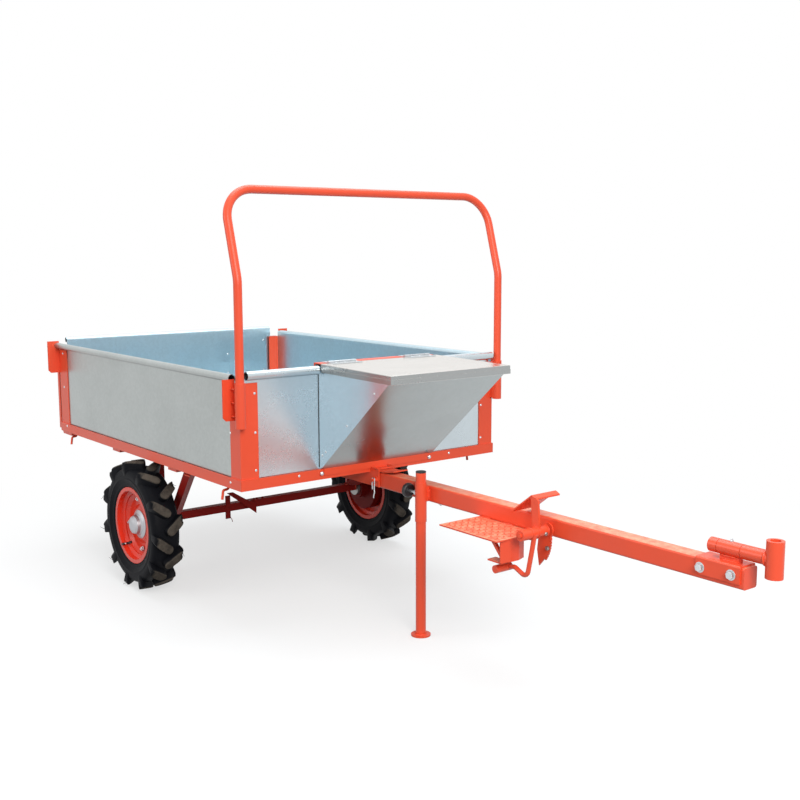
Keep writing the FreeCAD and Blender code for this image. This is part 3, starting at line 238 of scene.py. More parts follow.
def galvanised_sheet(tree, place, sheet, other, across=None, roughness=0.3, grain=0.6, painted_light_amount=0.28):
    """Hot-dip galvanised sheet: a blurred mirror broken up by soft zinc crystals about a centimetre across.

    Faces square to the given direction, or without one the faces that look in at the load, show the other
    colour: a painted reflection of the blue sky inside the bed and on the seat box's sides, and painted light
    on the lid's top against its skirt.
    """
    where, facing = place["Object"], place["Normal"]
    if across:
        turned = add_node(tree, "ShaderNodeVectorMath", {0: facing, 1: across},
                          operation="DOT_PRODUCT").outputs["Value"]
        square = add_node(tree, "ShaderNodeMath", {0: turned}, operation="ABSOLUTE").outputs[0]
        film = add_node(tree, "ShaderNodeMapRange", {0: square, 1: 0.5, 2: 0.7}).outputs[0]
    else:
        spoke = add_node(tree, "ShaderNodeVectorMath", {0: where, 1: load_centre},
                         operation="SUBTRACT").outputs[0]
        inward = add_node(tree, "ShaderNodeVectorMath", {0: facing, 1: spoke},
                          operation="DOT_PRODUCT").outputs["Value"]
        film = add_node(tree, "ShaderNodeMapRange", {0: inward, 1: 0.05, 2: -0.05}).outputs[0]
    # the other colour is painted light or shade: sky reflection inside the bed and on the seat box's sides,
    # light on the lid's top
    zinc = add_node(tree, "ShaderNodeMix", {0: film, 6: sheet, 7: other}, data_type="RGBA").outputs[2]
    # crystals are 9 mm across with wandering borders
    wander = add_node(tree, "ShaderNodeTexNoise", {"Vector": where, "Scale": per_mm(14)}).outputs[1]
    bent = add_node(tree, "ShaderNodeVectorMath", {0: wander, 1: (0.006, 0.006, 0.006)},
                    operation="MULTIPLY").outputs[0]
    seeded = add_node(tree, "ShaderNodeVectorMath", {0: where, 1: bent}, operation="ADD").outputs[0]
    crystals = add_node(tree, "ShaderNodeTexVoronoi", {"Vector": seeded, "Scale": per_mm(9)}).outputs["Color"]
    grains = add_node(tree, "ShaderNodeSeparateColor", {0: crystals}).outputs
    # rolling and handling leave cloudy patches a couple of hand's breadths wide
    clouds = add_node(tree, "ShaderNodeTexNoise",
                      {"Vector": where, "Scale": per_mm(180), "Detail": 4.0}).outputs[0]
    patch = add_node(tree, "ShaderNodeMapRange", {0: clouds, 1: 0.35, 2: 0.7, 4: 0.5}).outputs[0]
    # each crystal is a few per cent lighter or darker than its neighbours, and the clouds a little darker
    facet = add_node(tree, "ShaderNodeMapRange",
                     {0: grains[0], 3: 1 - 0.06 * grain, 4: 1 + 0.05 * grain}).outputs[0]
    dulled = add_node(tree, "ShaderNodeMath", {0: patch, 1: -0.12, 2: facet},
                      operation="MULTIPLY_ADD").outputs[0]
    # painted light and shade: what looks up is lighter and what looks down darker, as if lit from above
    upward = add_node(tree, "ShaderNodeSeparateXYZ", {0: facing}).outputs[2]
    painted_light_by_facing = add_node(tree, "ShaderNodeMapRange",
                      {0: upward, 1: -0.9, 2: 0.9, 3: 1 - painted_light_amount, 4: 1 + painted_light_amount}).outputs[0]
    tone = add_node(tree, "ShaderNodeMath", {0: dulled, 1: painted_light_by_facing}, operation="MULTIPLY").outputs[0]
    base = add_node(tree, "ShaderNodeVectorMath", {0: zinc, 3: tone}, operation="SCALE").outputs[0]
    crystal_gloss = add_node(tree, "ShaderNodeMapRange", {
        0: grains[1], 3: roughness - 0.03 * grain, 4: roughness + 0.03 * grain}).outputs[0]
    gloss = add_node(tree, "ShaderNodeMath", {0: patch, 1: 0.1, 2: crystal_gloss},
                     operation="MULTIPLY_ADD").outputs[0]
    # thin sheet is never quite flat: long shallow waves bend what it mirrors
    waves = add_node(tree, "ShaderNodeTexNoise",
                     {"Vector": where, "Scale": per_mm(260), "Detail": 1.0}).outputs[0]
    flatness = add_node(tree, "ShaderNodeBump",
                        {"Height": waves, "Strength": 0.35, "Distance": 0.004}).outputs[0]
    facets = add_node(tree, "ShaderNodeBump", {
        "Height": grains[2], "Strength": 0.02 * grain, "Distance": 0.0002, "Normal": flatness}).outputs[0]
    return add_node(tree, "ShaderNodeBsdfPrincipled", {
        "Base Color": base, "Metallic": 1.0, "Roughness": gloss, "Normal": facets})


def zinc_plated_steel(tree, place, metal, roughness=0.3):
    """Bright zinc plate: a clean cool metal with fine mottling, so small bolts glint."""
    # the plating's tone and gloss drift over about 4 mm
    mottle = add_node(tree, "ShaderNodeTexNoise",
                      {"Vector": place["Object"], "Scale": per_mm(4), "Detail": 3.0}).outputs[0]
    base = add_node(tree, "ShaderNodeMix", {0: mottle, 6: shade(metal, 0.84), 7: shade(metal, 1.06)},
                    data_type="RGBA").outputs[2]
    gloss = add_node(tree, "ShaderNodeMapRange",
                     {0: mottle, 1: 0.3, 2: 0.7, 3: roughness - 0.05, 4: roughness + 0.1}).outputs[0]
    bump = add_node(tree, "ShaderNodeBump",
                    {"Height": mottle, "Strength": 0.05, "Distance": 0.0003}).outputs[0]
    return add_node(tree, "ShaderNodeBsdfPrincipled", {
        "Base Color": base, "Metallic": 1.0, "Roughness": gloss, "Normal": bump})


def turned_steel(tree, place, metal):
    """Turned steel: fine rings about the wheel's axis stretch the highlight across the shaft."""
    # tool marks are 0.3 mm apart, drawn at 0.8 mm so that they show
    stretched = add_node(tree, "ShaderNodeVectorMath", {0: place["Object"], 1: (0.02, 1.0, 0.02)},
                         operation="MULTIPLY").outputs[0]
    rings = add_node(tree, "ShaderNodeTexNoise", {"Vector": stretched, "Scale": per_mm(0.8)}).outputs[0]
    base = add_node(tree, "ShaderNodeMix", {0: rings, 6: shade(metal, 0.75), 7: shade(metal, 1.05)},
                    data_type="RGBA").outputs[2]
    bump = add_node(tree, "ShaderNodeBump",
                    {"Height": rings, "Strength": 0.15, "Distance": 0.0002}).outputs[0]
    return add_node(tree, "ShaderNodeBsdfPrincipled", {
        "Base Color": base, "Metallic": 1.0, "Roughness": 0.38, "Normal": bump})


def moulded_tyre_rubber(tree, place, rubber, dust, centre, tread_radius):
    """Moulded tyre rubber: near black with a dull sheen, greyed by dust where the bars touched the ground."""
    where = place["Object"]
    offset = add_node(tree, "ShaderNodeVectorMath", {0: where, 1: centre}, operation="SUBTRACT").outputs[0]
    flat = add_node(tree, "ShaderNodeVectorMath", {0: offset, 1: (1.0, 0.0, 1.0)},
                    operation="MULTIPLY").outputs[0]
    radius = add_node(tree, "ShaderNodeVectorMath", {0: flat}, operation="LENGTH").outputs["Value"]
    worn = add_node(tree, "ShaderNodeMapRange",
                    {0: radius, 1: tread_radius - 0.006, 2: tread_radius - 0.002}).outputs[0]
    # dust lies thick on the bars' tops and thin everywhere else, in blotches of about 30 mm
    grime = add_node(tree, "ShaderNodeTexNoise", {
        "Vector": where, "Scale": per_mm(30), "Detail": 5.0, "Roughness": 0.65}).outputs[0]
    blotch = add_node(tree, "ShaderNodeMapRange", {0: grime, 1: 0.32, 2: 0.6, 3: 0.35, 4: 0.95}).outputs[0]
    dusty = add_node(tree, "ShaderNodeMath", {0: worn, 1: blotch}, operation="MULTIPLY").outputs[0]
    film = add_node(tree, "ShaderNodeMapRange", {0: grime, 1: 0.55, 2: 0.8, 4: 0.05}).outputs[0]
    cover = add_node(tree, "ShaderNodeMath", {0: dusty, 1: film}, operation="MAXIMUM").outputs[0]
    base = add_node(tree, "ShaderNodeMix", {0: cover, 6: rubber, 7: dust}, data_type="RGBA").outputs[2]
    gloss = add_node(tree, "ShaderNodeMapRange", {0: cover, 3: 0.48, 4: 0.85}).outputs[0]
    # the mould's grain is under a millimetre, drawn at 1.6 mm so that it shows
    grain = add_node(tree, "ShaderNodeTexNoise",
                     {"Vector": where, "Scale": per_mm(1.6), "Detail": 3.0}).outputs[0]
    bump = add_node(tree, "ShaderNodeBump", {"Height": grain, "Strength": 0.3, "Distance": 0.0006}).outputs[0]
    return add_node(tree, "ShaderNodeBsdfPrincipled", {
        "Base Color": base, "Roughness": gloss, "IOR": 1.52, "Specular IOR Level": 0.05, "Normal": bump})


def moulded_plastic(tree, place, plastic):
    """Moulded polyethylene: soft black with a fine spark-eroded grain that dulls the highlight."""
    # the grain is about 0.2 mm, drawn at 0.9 mm so that it shows
    grain = add_node(tree, "ShaderNodeTexNoise", {"Vector": place["Object"], "Scale": per_mm(0.9)}).outputs[0]
    base = add_node(tree, "ShaderNodeMix", {0: grain, 6: shade(plastic, 0.8), 7: shade(plastic, 1.3)},
                    data_type="RGBA").outputs[2]
    bump = add_node(tree, "ShaderNodeBump",
                    {"Height": grain, "Strength": 0.25, "Distance": 0.0004}).outputs[0]
    return add_node(tree, "ShaderNodeBsdfPrincipled", {
        "Base Color": base, "Roughness": 0.42, "IOR": 1.51, "Normal": bump})


def seen_ray(tree):
    """1 on rays from the camera and on mirrored or transmitted ones, 0 on those that only carry light."""
    path = add_node(tree, "ShaderNodeLightPath").outputs
    seen = add_node(tree, "ShaderNodeMath", {0: path["Is Camera Ray"], 1: path["Is Glossy Ray"]},
                    operation="MAXIMUM").outputs[0]
    return add_node(tree, "ShaderNodeMath", {0: seen, 1: path["Is Transmission Ray"]},
                    operation="MAXIMUM").outputs[0]


def studio_floor(tree, place, paint, reach):
    """Painted studio floor: matt and pale with a soft shadow, fading to plain white around the object."""
    where, seen = place["Object"], seen_ray(tree)
    # the paint's tone drifts over nearly a metre
    drift = add_node(tree, "ShaderNodeTexNoise",
                     {"Vector": where, "Scale": per_mm(900), "Detail": 3.0}).outputs[0]
    pale = add_node(tree, "ShaderNodeMix", {0: drift, 6: shade(paint, 0.985), 7: paint},
                    data_type="RGBA").outputs[2]
    # what the floor throws back onto the frame's underside is kept dark
    bounce = add_node(tree, "ShaderNodeMix", {0: seen, 6: shade(paint, 0.16), 7: pale},
                      data_type="RGBA").outputs[2]
    surface = add_node(tree, "ShaderNodeBsdfDiffuse", {"Color": bounce})
    white = add_node(tree, "ShaderNodeEmission", {"Color": pure_white, "Strength": 1.0})
    distance = add_node(tree, "ShaderNodeVectorMath", {0: where}, operation="LENGTH").outputs["Value"]
    fade = add_node(tree, "ShaderNodeMapRange", {0: distance, 1: 0.3 * reach, 2: 0.8 * reach, 3: 0.6},
                    interpolation_type="SMOOTHSTEP").outputs[0]
    shown = add_node(tree, "ShaderNodeMath", {0: fade, 1: seen}, operation="MULTIPLY").outputs[0]
    return add_node(tree, "ShaderNodeMixShader", {0: shown, 1: surface.outputs[0], 2: white.outputs[0]})


def finishes(context):
    """The finished materials by the names of the record's slots and of parts with their own, made once."""
    tints = context.scene.trailer_colours
    y_axis, z_axis = (0.0, 1.0, 0.0), (0.0, 0.0, 1.0)
    wanted = {
        "paint_red": ("powder_coat_red", powder_coated_steel, tints.paint),
        # painted shade: the drum enamel is darkened for the shade inside the wheels
        "hub_red": ("drum_enamel", powder_coated_steel, tints.drum_red_painted_shade, 0.45, None, 0.12),
        "rim_red": ("rim_enamel", powder_coated_steel, tints.enamel, 0.26),
        # painted sheen: the drawbar's film is dust and a painted sky sheen on its upper faces
        "drawbar": ("powder_coat_weathered", powder_coated_steel, tints.paint, 0.33, tints.weathered),
        # painted shade: the axle's enamel is darkened for the shade under the bed
        "axle": ("axle_enamel", powder_coated_steel, tints.axle_red_painted_shade, 0.45, None, 0.12),
        # painted reflection: the bed's inner faces take a painted blue sky reflection
        "galvanised": ("galvanised_sheet", galvanised_sheet, tints.galvanised, tints.inner_sheet_painted_sky),
        "front_wall": ("galvanised_front_wall", galvanised_sheet, tints.front_galvanised,
                       tints.inner_sheet_painted_sky, None, 0.25, 0.25),
        # painted shade on the seat box's sloping front, painted sky reflection on its upright sides
        "seat_box": ("galvanised_seat_box", galvanised_sheet, tints.seat_front_painted_shade, tints.seat_sides_painted_sky,
                     y_axis, 0.22, 0.35, 0.0),
        # painted light on the lid's top, painted shade on its skirt
        "seat_lid": ("galvanised_lid", galvanised_sheet, tints.lid_skirt_painted_shade, tints.lid_top_painted_light,
                     z_axis, 0.24, 0.15, 0.0),
        "hub_cap": ("pressed_zinc_cap", zinc_plated_steel, tints.cap_zinc, 0.42),
        "zinc_plated": ("bright_zinc_plate", zinc_plated_steel, tints.zinc),
        "bare_steel": ("turned_steel", turned_steel, tints.steel),
        "tyre_rubber": ("moulded_tyre_rubber", moulded_tyre_rubber, tints.rubber, tints.dust,
                        wheel_centres["right"], tyre_radius),
        "black_plastic": ("moulded_black_plastic", moulded_plastic, tints.plastic),
    }
    for name, build, *values in wanted.values():
        if name not in bpy.data.materials:
            new_material(name, build, *values)
    return {slot: bpy.data.materials[entry[0]] for slot, entry in wanted.items()}


# ---- mesh makers
def make_piece(context, name, mesh, body, slot, sharp=32):
    """Turns a bmesh into an object with a slot's finish, riding on a body."""
    bmesh.ops.remove_doubles(mesh, verts=mesh.verts, dist=1e-6)
    bmesh.ops.dissolve_degenerate(mesh, edges=mesh.edges, dist=1e-7)
    bmesh.ops.recalc_face_normals(mesh, faces=mesh.faces)
    data = bpy.data.meshes.new(name)
    mesh.to_mesh(data)
    mesh.free()
    data.shade_smooth()
    data.set_sharp_from_angle(angle=math.radians(sharp))
    data.materials.append(finishes(context)[slot])
    made = bpy.data.objects.new(name, data)
    context.scene.collection.objects.link(made)
    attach(made, body)
    return made


def frame_along(axis):
    """Two unit vectors square to an axis and to each other."""
    axis = Vector(axis).normalized()
    side = axis.orthogonal().normalized()
    return axis, side, axis.cross(side)


def around(side, other, angle):
    """The unit vector that stands at an angle between two that are square to each other."""
    return side * math.cos(angle) + other * math.sin(angle)


def skin(mesh, pairs):
    """Joins pairs of equal rings of vertices with four-sided faces."""
    for near, far in pairs:
        for i in range(len(near)):
            j = (i + 1) % len(near)
            mesh.faces.new((near[i], near[j], far[j], far[i]))


def turn(mesh, profile, origin, axis, steps):
    """Revolves (distance along the axis, radius) points about an axis; the profile's ends are closed."""
    axis, side, other = frame_along(axis)
    rings = []
    for along, radius in profile:
        centre = origin + axis * along
        rings.append([mesh.verts.new(centre + around(side, other, 2 * math.pi * i / steps) * radius)
                      for i in range(steps)])
    skin(mesh, zip(rings, rings[1:]))
    for ring, radius in ((rings[0], profile[0][1]), (rings[-1], profile[-1][1])):
        if radius > 1e-6:
            mesh.faces.new(ring)


def loft(mesh, rings, closed=False):
    """Skins a list of equal rings of points; open lofts get end caps."""
    made = [[mesh.verts.new(p) for p in ring] for ring in rings]
    skin(mesh, zip(made, made[1:]))
    if closed:
        skin(mesh, [(made[-1], made[0])])
    else:
        mesh.faces.new(made[0])
        mesh.faces.new(made[-1])


def wire(mesh, points, radii, sides):
    """A round wire through points, with one radius or a list of them."""
    if not isinstance(radii, list):
        radii = [radii] * len(points)
    side = (points[1] - points[0]).normalized().orthogonal().normalized()
    rings = []
    for i, point in enumerate(points):
        after = (points[min(i + 1, len(points) - 1)] - points[max(i - 1, 0)]).normalized()
        side = (side - after * side.dot(after)).normalized()
        other = after.cross(side)
        rings.append([point + around(side, other, 2 * math.pi * k / sides) * radii[i] for k in range(sides)])
    loft(mesh, rings)


def curve_points(knots, count):
    """Points on a smooth curve through knots."""
    ext = [knots[0] * 2 - knots[1]] + knots + [knots[-1] * 2 - knots[-2]]
    found = []
    for i in range(len(knots) - 1):
        a, b, c, d = ext[i:i + 4]
        for k in range(count):
            t = k / count
            found.append(0.5 * ((2 * b) + (c - a) * t + (2 * a - 5 * b + 4 * c - d) * t ** 2
                                + (3 * b - a - 3 * c + d) * t ** 3))
    return found + [knots[-1]]


def rounded_plate(mesh, corners, thickness, edge):
    """A flat plate from its outline, thickened along its normal, with a small chamfer all round."""
    normal = (corners[1] - corners[0]).cross(corners[2] - corners[1]).normalized()
    centre = sum(corners, Vector()) / len(corners)

    def ring(inset, lift):
        return [c + (centre - c).normalized() * inset + normal * lift for c in corners]

    loft(mesh, [ring(edge, 0), ring(0, edge), ring(0, thickness - edge), ring(edge, thickness)])


def dome_head(mesh, place, normal, width, height):
    """Blind rivet: a low dome with a flat rim and the dimple left by its mandrel."""
    r = width / 2
    turn(mesh, [(-0.0006, r), (0.0003, r), (height * 0.6, r * 0.86), (height * 0.93, r * 0.55),
                (height, r * 0.3), (height * 0.82, r * 0.24), (height * 0.8, 0.0)], place, normal, 16)


def hex_head(mesh, place, normal, flats, height, washer=0.0, stud=0.0):
    """Hexagon head with chamfered corners on a washer, with a stud's end if it is a nut."""
    base = 0.0
    if washer:
        turn(mesh, [(-0.0004, washer * 0.97), (0.0002, washer), (0.0014, washer), (0.0019, washer * 0.95),
                    (0.0019, flats * 0.3)], place, normal, 28)
        base = 0.0017
    r = flats / math.sqrt(3)
    top = base + height
    turn(mesh, [(base, flats * 0.49), (base + 0.0004, r), (base + height * 0.82, r), (top, flats * 0.47),
                (top, 0.0)], place, normal, 6)
    if stud:
        turn(mesh, [(base, stud), (top + stud * 0.8, stud), (top + stud, stud * 0.8), (top + stud, 0.0)],
             place, normal, 16)


def bead(mesh, start, end, width, seed):
    """A weld bead between two points: overlapping ripples that start and stop rounded."""
    run = (end - start).length
    steps = max(6, int(run / ripple_pitch))
    rng = random.Random(seed)
    points, radii = [], []
    for i in range(steps + 1):
        t = i / steps
        ripple = 1.0 + 0.1 * math.cos(math.pi * i) + rng.uniform(-0.05, 0.05)
        taper = min(1.0, 0.35 + 3 * t, 0.35 + 3 * (1 - t))
        points.append(start.lerp(end, t) + Vector([rng.uniform(-0.0002, 0.0002) for _ in range(3)]))
        radii.append(width / 2 * ripple * taper)
    wire(mesh, points, radii, 8)


def beads(mesh, width, rows):
    """Weld beads from rows of both ends in millimetres, share of the width, seed."""
    for start, end, share, seed in rows:
        bead(mesh, at(*start), at(*end), width * share, seed)


def ring_bead(mesh, centre, axis, radius, width, steps=60):
    """A weld bead round a tube's end."""
    axis, side, other = frame_along(axis)
    rings = []
    for i in range(steps):
        out = around(side, other, math.radians(360 * i / steps))
        thick = width / 2 * (1.0 + 0.1 * math.cos(math.pi * i))
        rings.append([centre + out * radius + around(out, axis, k * math.pi / 4) * thick for k in range(8)])
    loft(mesh, rings, closed=True)


# ---- finishes on the model
class TRAILER_OT_finish_model(bpy.types.Operator):
    """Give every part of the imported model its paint, zinc, rubber or plastic"""
    bl_idname = "trailer.finish_model"
    bl_label = "Finish the Model"

    def execute(self, context):
        own = finishes(context)
        slots = {row["node"]: row["material_slot"] for row in frame["record"]["subparts"]}
        for name, part in frame["nodes"].items():
            chosen = own.get(finish_of.get(name, name)) or own[slots[name]]
            for entry in part.material_slots:
                entry.material = chosen
        return {"FINISHED"}


# ---- tyres
# (distance from the tyre's middle, radius) in millimetres, outer half of the carcass
carcass_half = [(35.2, 122.5), (35.6, 132.5), (38.5, 134.5), (41.5, 138), (42.4, 141.5), (42, 144.5),
                (44.5, 150), (46.6, 156), (47.6, 159), (48.7, 160.5), (48.7, 163.5), (48, 165), (48.9, 171),
                (49, 177), (47.9, 184), (45.2, 190), (40.8, 194.5), (34, 197.6), (23, 199.6), (11, 200.6)]
carcass_inside = [(0, 190), (28, 187), (37, 172), (34, 148), (27, 132), (25, 122.5)]
# along a path round the carcass from the tread's middle to the sidewall: the path, then the distance from the
# tyre's middle and the radius at a bar's foot, and the same two at its top
bar_rows = [(-30, -30, 195, -30, 220.8), (0, 0, 197, 0, 222), (20, 20, 196.5, 20, 221.7),
            (36, 33.5, 193.5, 36.5, 221), (46, 41.5, 189.5, 46.8, 219.8), (54, 45.5, 184, 51.6, 215),
            (62, 47, 177, 52.6, 203), (70, 47, 170, 51.4, 187), (80, 46.6, 162, 47.8, 165)]
# tread bar's middle line from shoulder to nose: (path, distance round the tyre, share of the full width)
bar_line = [(80, -3, 0.72), (70, -1.5, 0.8), (62, 0, 0.86), (54, 2, 0.9), (46, 6, 0.94), (38, 12, 0.97),
            (28, 20.5, 1), (16, 30, 1), (4, 39, 1)]
nose_angles = (25, 48, 68, 84)
# share of the way from a bar's foot to its top, and what that level adds to half the bar's width
bar_levels = ((0.0, 4.5), (0.45, 1.6), (0.86, 0.0), (1.0, -1.6))
carcass_steps = 144
bar_radius = 213.0
tread_phase = {"right": math.radians(31), "left": math.radians(22)}
whisker_chance = 0.55


def bar_place(path, share):
    """Distance from the tyre's middle and radius, a share of the way from a bar's foot to its top."""
    for near, far in zip(bar_rows, bar_rows[1:]):
        if path <= far[0] or far == bar_rows[-1]:
            t = (path - near[0]) / (far[0] - near[0])
            s0, r0, s1, r1 = (a + (b - a) * t for a, b in zip(near[1:], far[1:]))
            return s0 + (s1 - s0) * share, r0 + (r1 - r0) * share


def tread_bar(mesh, centre, side, turn_by, half_width):
    """One bar of the tread, lofted from the sidewall over the shoulder to its rounded nose."""
    stations = []
    for i, (path, round_tyre, narrow) in enumerate(bar_line):
        before, after = bar_line[max(i - 1, 0)], bar_line[min(i + 1, len(bar_line) - 1)]
        along = Vector((after[0] - before[0], after[1] - before[1])).normalized()
        stations.append((Vector((path, round_tyre)), along, narrow, 0.0))
    last, along = stations[-1][:2]
    for angle in map(math.radians, nose_angles):
        stations.append((last, along, math.cos(angle), math.sin(angle)))

    rings = []
    for place, along, narrow, advance in stations:
        across = Vector((-along.y, along.x))
        halves = []
        for hand in (-1, 1):
            half = []
            for share, wider in bar_levels:
                width = half_width + wider
                spot = place + along * (advance * width) + across * (hand * narrow * width)
                s, r = bar_place(spot.x, share)
                half.append(on_tyre(centre, side * s, r, turn_by - spot.y / bar_radius))
            halves.append(half)
        rings.append(halves[0] + halves[1][::-1])
    loft(mesh, rings)


def on_tyre(centre, aside, radius, angle):
    """A place in metres on a wheel from millimetres aside and out from its middle, and an angle."""
    return centre + Vector((radius * math.cos(angle), aside, radius * math.sin(angle))) / 1000


class TRAILER_OT_tyres(bpy.types.Operator):
    """Mould both tyres: ribbed carcass, chevron tread bars and moulding whiskers"""
    bl_idname = "trailer.tyres"
    bl_label = "Tyres"

    def execute(self, context):
        sizes = context.scene.trailer_sizes
        outline = (carcass_half + [(-s, r) for s, r in reversed(carcass_half)]
                   + [(-s, r) for s, r in reversed(carcass_inside)] + carcass_inside[1:])
        for name, centre in wheel_centres.items():
            mesh = bmesh.new()
            loft(mesh, [[on_tyre(centre, s, r, 2 * math.pi * i / carcass_steps) for s, r in outline]
                        for i in range(carcass_steps)], closed=True)
            pitch = 2 * math.pi / sizes.lugs_per_side
            rng = random.Random(7 if name == "right" else 9)
            for side in (-1, 1):
                for i in range(sizes.lugs_per_side):
                    spot = pitch * (i + (0.5 if side > 0 else 0.0)) + tread_phase[name]
                    tread_bar(mesh, centre, side, spot, sizes.lug_width * 500)
                    if rng.random() < whisker_chance:
                        self.whisker(mesh, centre, side, spot - rng.uniform(-0.02, 0.03), rng, sizes.whisker)
            tyre = make_piece(context, "tyre_moulded_" + name, mesh, "wheel_" + name, "tyre_rubber", 38)
            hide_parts("tyre_" + name)
        return {"FINISHED"}

    def whisker(self, mesh, centre, side, angle, rng, reach):
        """A thin rubber whisker left by the mould's vent on a bar's end, leaning out beside the tyre."""
        out = Vector((math.cos(angle), 0.0, math.sin(angle)))
        start = centre + out * 0.2135 + Vector((0.0, side * 0.0485, 0.0))
        lean = Vector((0.0, side * 0.62, 0.0)) + out * rng.uniform(-0.25, 0.35)
        lean += Vector((-out.z, 0.0, out.x)) * rng.uniform(-0.5, 0.5)
        tip = start + lean.normalized() * reach * rng.uniform(0.7, 1.0)
        # on the inner side the struts leave less room
        furthest = 0.062 if side * centre.y > 0 else 0.0545
        tip.y = centre.y + side * min(abs(tip.y - centre.y), furthest)
        bent = (start + tip) / 2 + Vector((0.0, 0.0, rng.uniform(-0.0015, 0.0015)))
        wire(mesh, [start, bent, tip], [0.0008, 0.00065, 0.0004], 6)


# turned profiles: (distance along the axis, radius) in metres
valve_profile = [(-0.004, 0.0065), (0.002, 0.0065), (0.005, 0.0045), (0.021, 0.0038), (0.0225, 0.0045),
                 (0.031, 0.0045), (0.0325, 0.0036), (0.0325, 0.0)]
collar_profile = [(0.0165, 0.0041), (0.017, 0.0044), (0.0215, 0.0044), (0.022, 0.0041)]
screw_profile = [(-0.0006, 0.0044), (0.0, 0.0044), (0.0009, 0.0036), (0.0012, 0.0018), (0.0007, 0.0012),
                 (0.0007, 0.0)]
nipple_profile = [(-0.0015, 0.0042), (0.0025, 0.0042), (0.003, 0.0036), (0.0045, 0.0024), (0.0062, 0.0024),
                  (0.0068, 0.0016), (0.0068, 0.0)]
bolt_radius, bolt_angles = 87, (97, 187, 277, 367)
valve_angle = {"right": math.radians(228), "left": math.radians(312)}


class TRAILER_OT_wheel_fittings(bpy.types.Operator):
    """Bolt the wheels on and fit their tyre valves"""
    bl_idname = "trailer.wheel_fittings"
    bl_label = "Wheel Bolts and Valves"

    def execute(self, context):
        flats = context.scene.trailer_sizes.wheel_bolt
        for name, centre in wheel_centres.items():
            side = outward[name]
            out = Vector((0.0, side, 0.0))
            mesh = bmesh.new()
            for angle in bolt_angles:
                place = on_tyre(centre, side * disc_face(bolt_radius), bolt_radius, math.radians(angle))
                hex_head(mesh, place, out, flats, 0.0055, washer=0.0095, stud=0.0035)
            make_piece(context, "wheel_bolts_" + name, mesh, "wheel_" + name, "zinc_plated")

            root = on_tyre(centre, side * 12.5, 109.5, valve_angle[name])
            for piece, profile, slot in (("tyre_valve_", valve_profile, "black_plastic"),
                                         ("valve_collar_", collar_profile, "zinc_plated")):
                mesh = bmesh.new()
                turn(mesh, profile, root, out, 18)
                make_piece(context, piece + name, mesh, "wheel_" + name, slot)
        return {"FINISHED"}


def disc_face(radius):
    """Millimetres from the wheel's middle to its disc's outer face at a radius, read off the rim."""
    places = [(v.co - wheel_centres["left"]) * 1000 for v in frame["nodes"]["rim_left"].data.vertices]
    return max(p.y for p in places if abs(math.hypot(p.x, p.z) - radius) < 12)


# ---- bed
class TRAILER_OT_bed_rivets(bpy.types.Operator):
    """Rivet the bed's sheets to its rails and posts, and bolt its end rails"""
    bl_idname = "trailer.bed_rivets"
    bl_label = "Bed Rivets"

    def execute(self, context):
        heads = [((-3, y, z), ahead) for y in (-447, 444) for z in (287, 171, 58)]
        heads += [((0, y, 21.5), ahead) for y in (-299, -103, 97, 298)]
        for side in (-1, 1):
            out = Vector((0, side, 0))
            heads += [((x, side * y, z), out) for x, y, z in (
                (-62, 497, 168), (-62, 497, 292), (-1357, 497, 174), (-1358, 497, 304), (-62, 500, 19),
                (-1337, 500, 24))]
            heads += [((-1397, side * 470, z), -ahead) for z in (60, 170, 280)]
        mesh = bmesh.new()
        for place, normal in heads:
            dome_head(mesh, at(*place), normal, context.scene.trailer_sizes.rivet, rail_rivet_height)
        make_piece(context, "bed_rivets", mesh, "bed", "zinc_plated")

        mesh = bmesh.new()
        for y in (-219, 208):
            hex_head(mesh, at(3, y, 19.5), ahead, 0.010, 0.004, washer=0.0062, stud=0.0025)
        for y in (-350, -310, 310, 350):
            hex_head(mesh, at(-1400.01, y, 20), -ahead, 0.010, 0.004, washer=0.0085)
        make_piece(context, "bed_bolts", mesh, "bed", "zinc_plated")
        return {"FINISHED"}


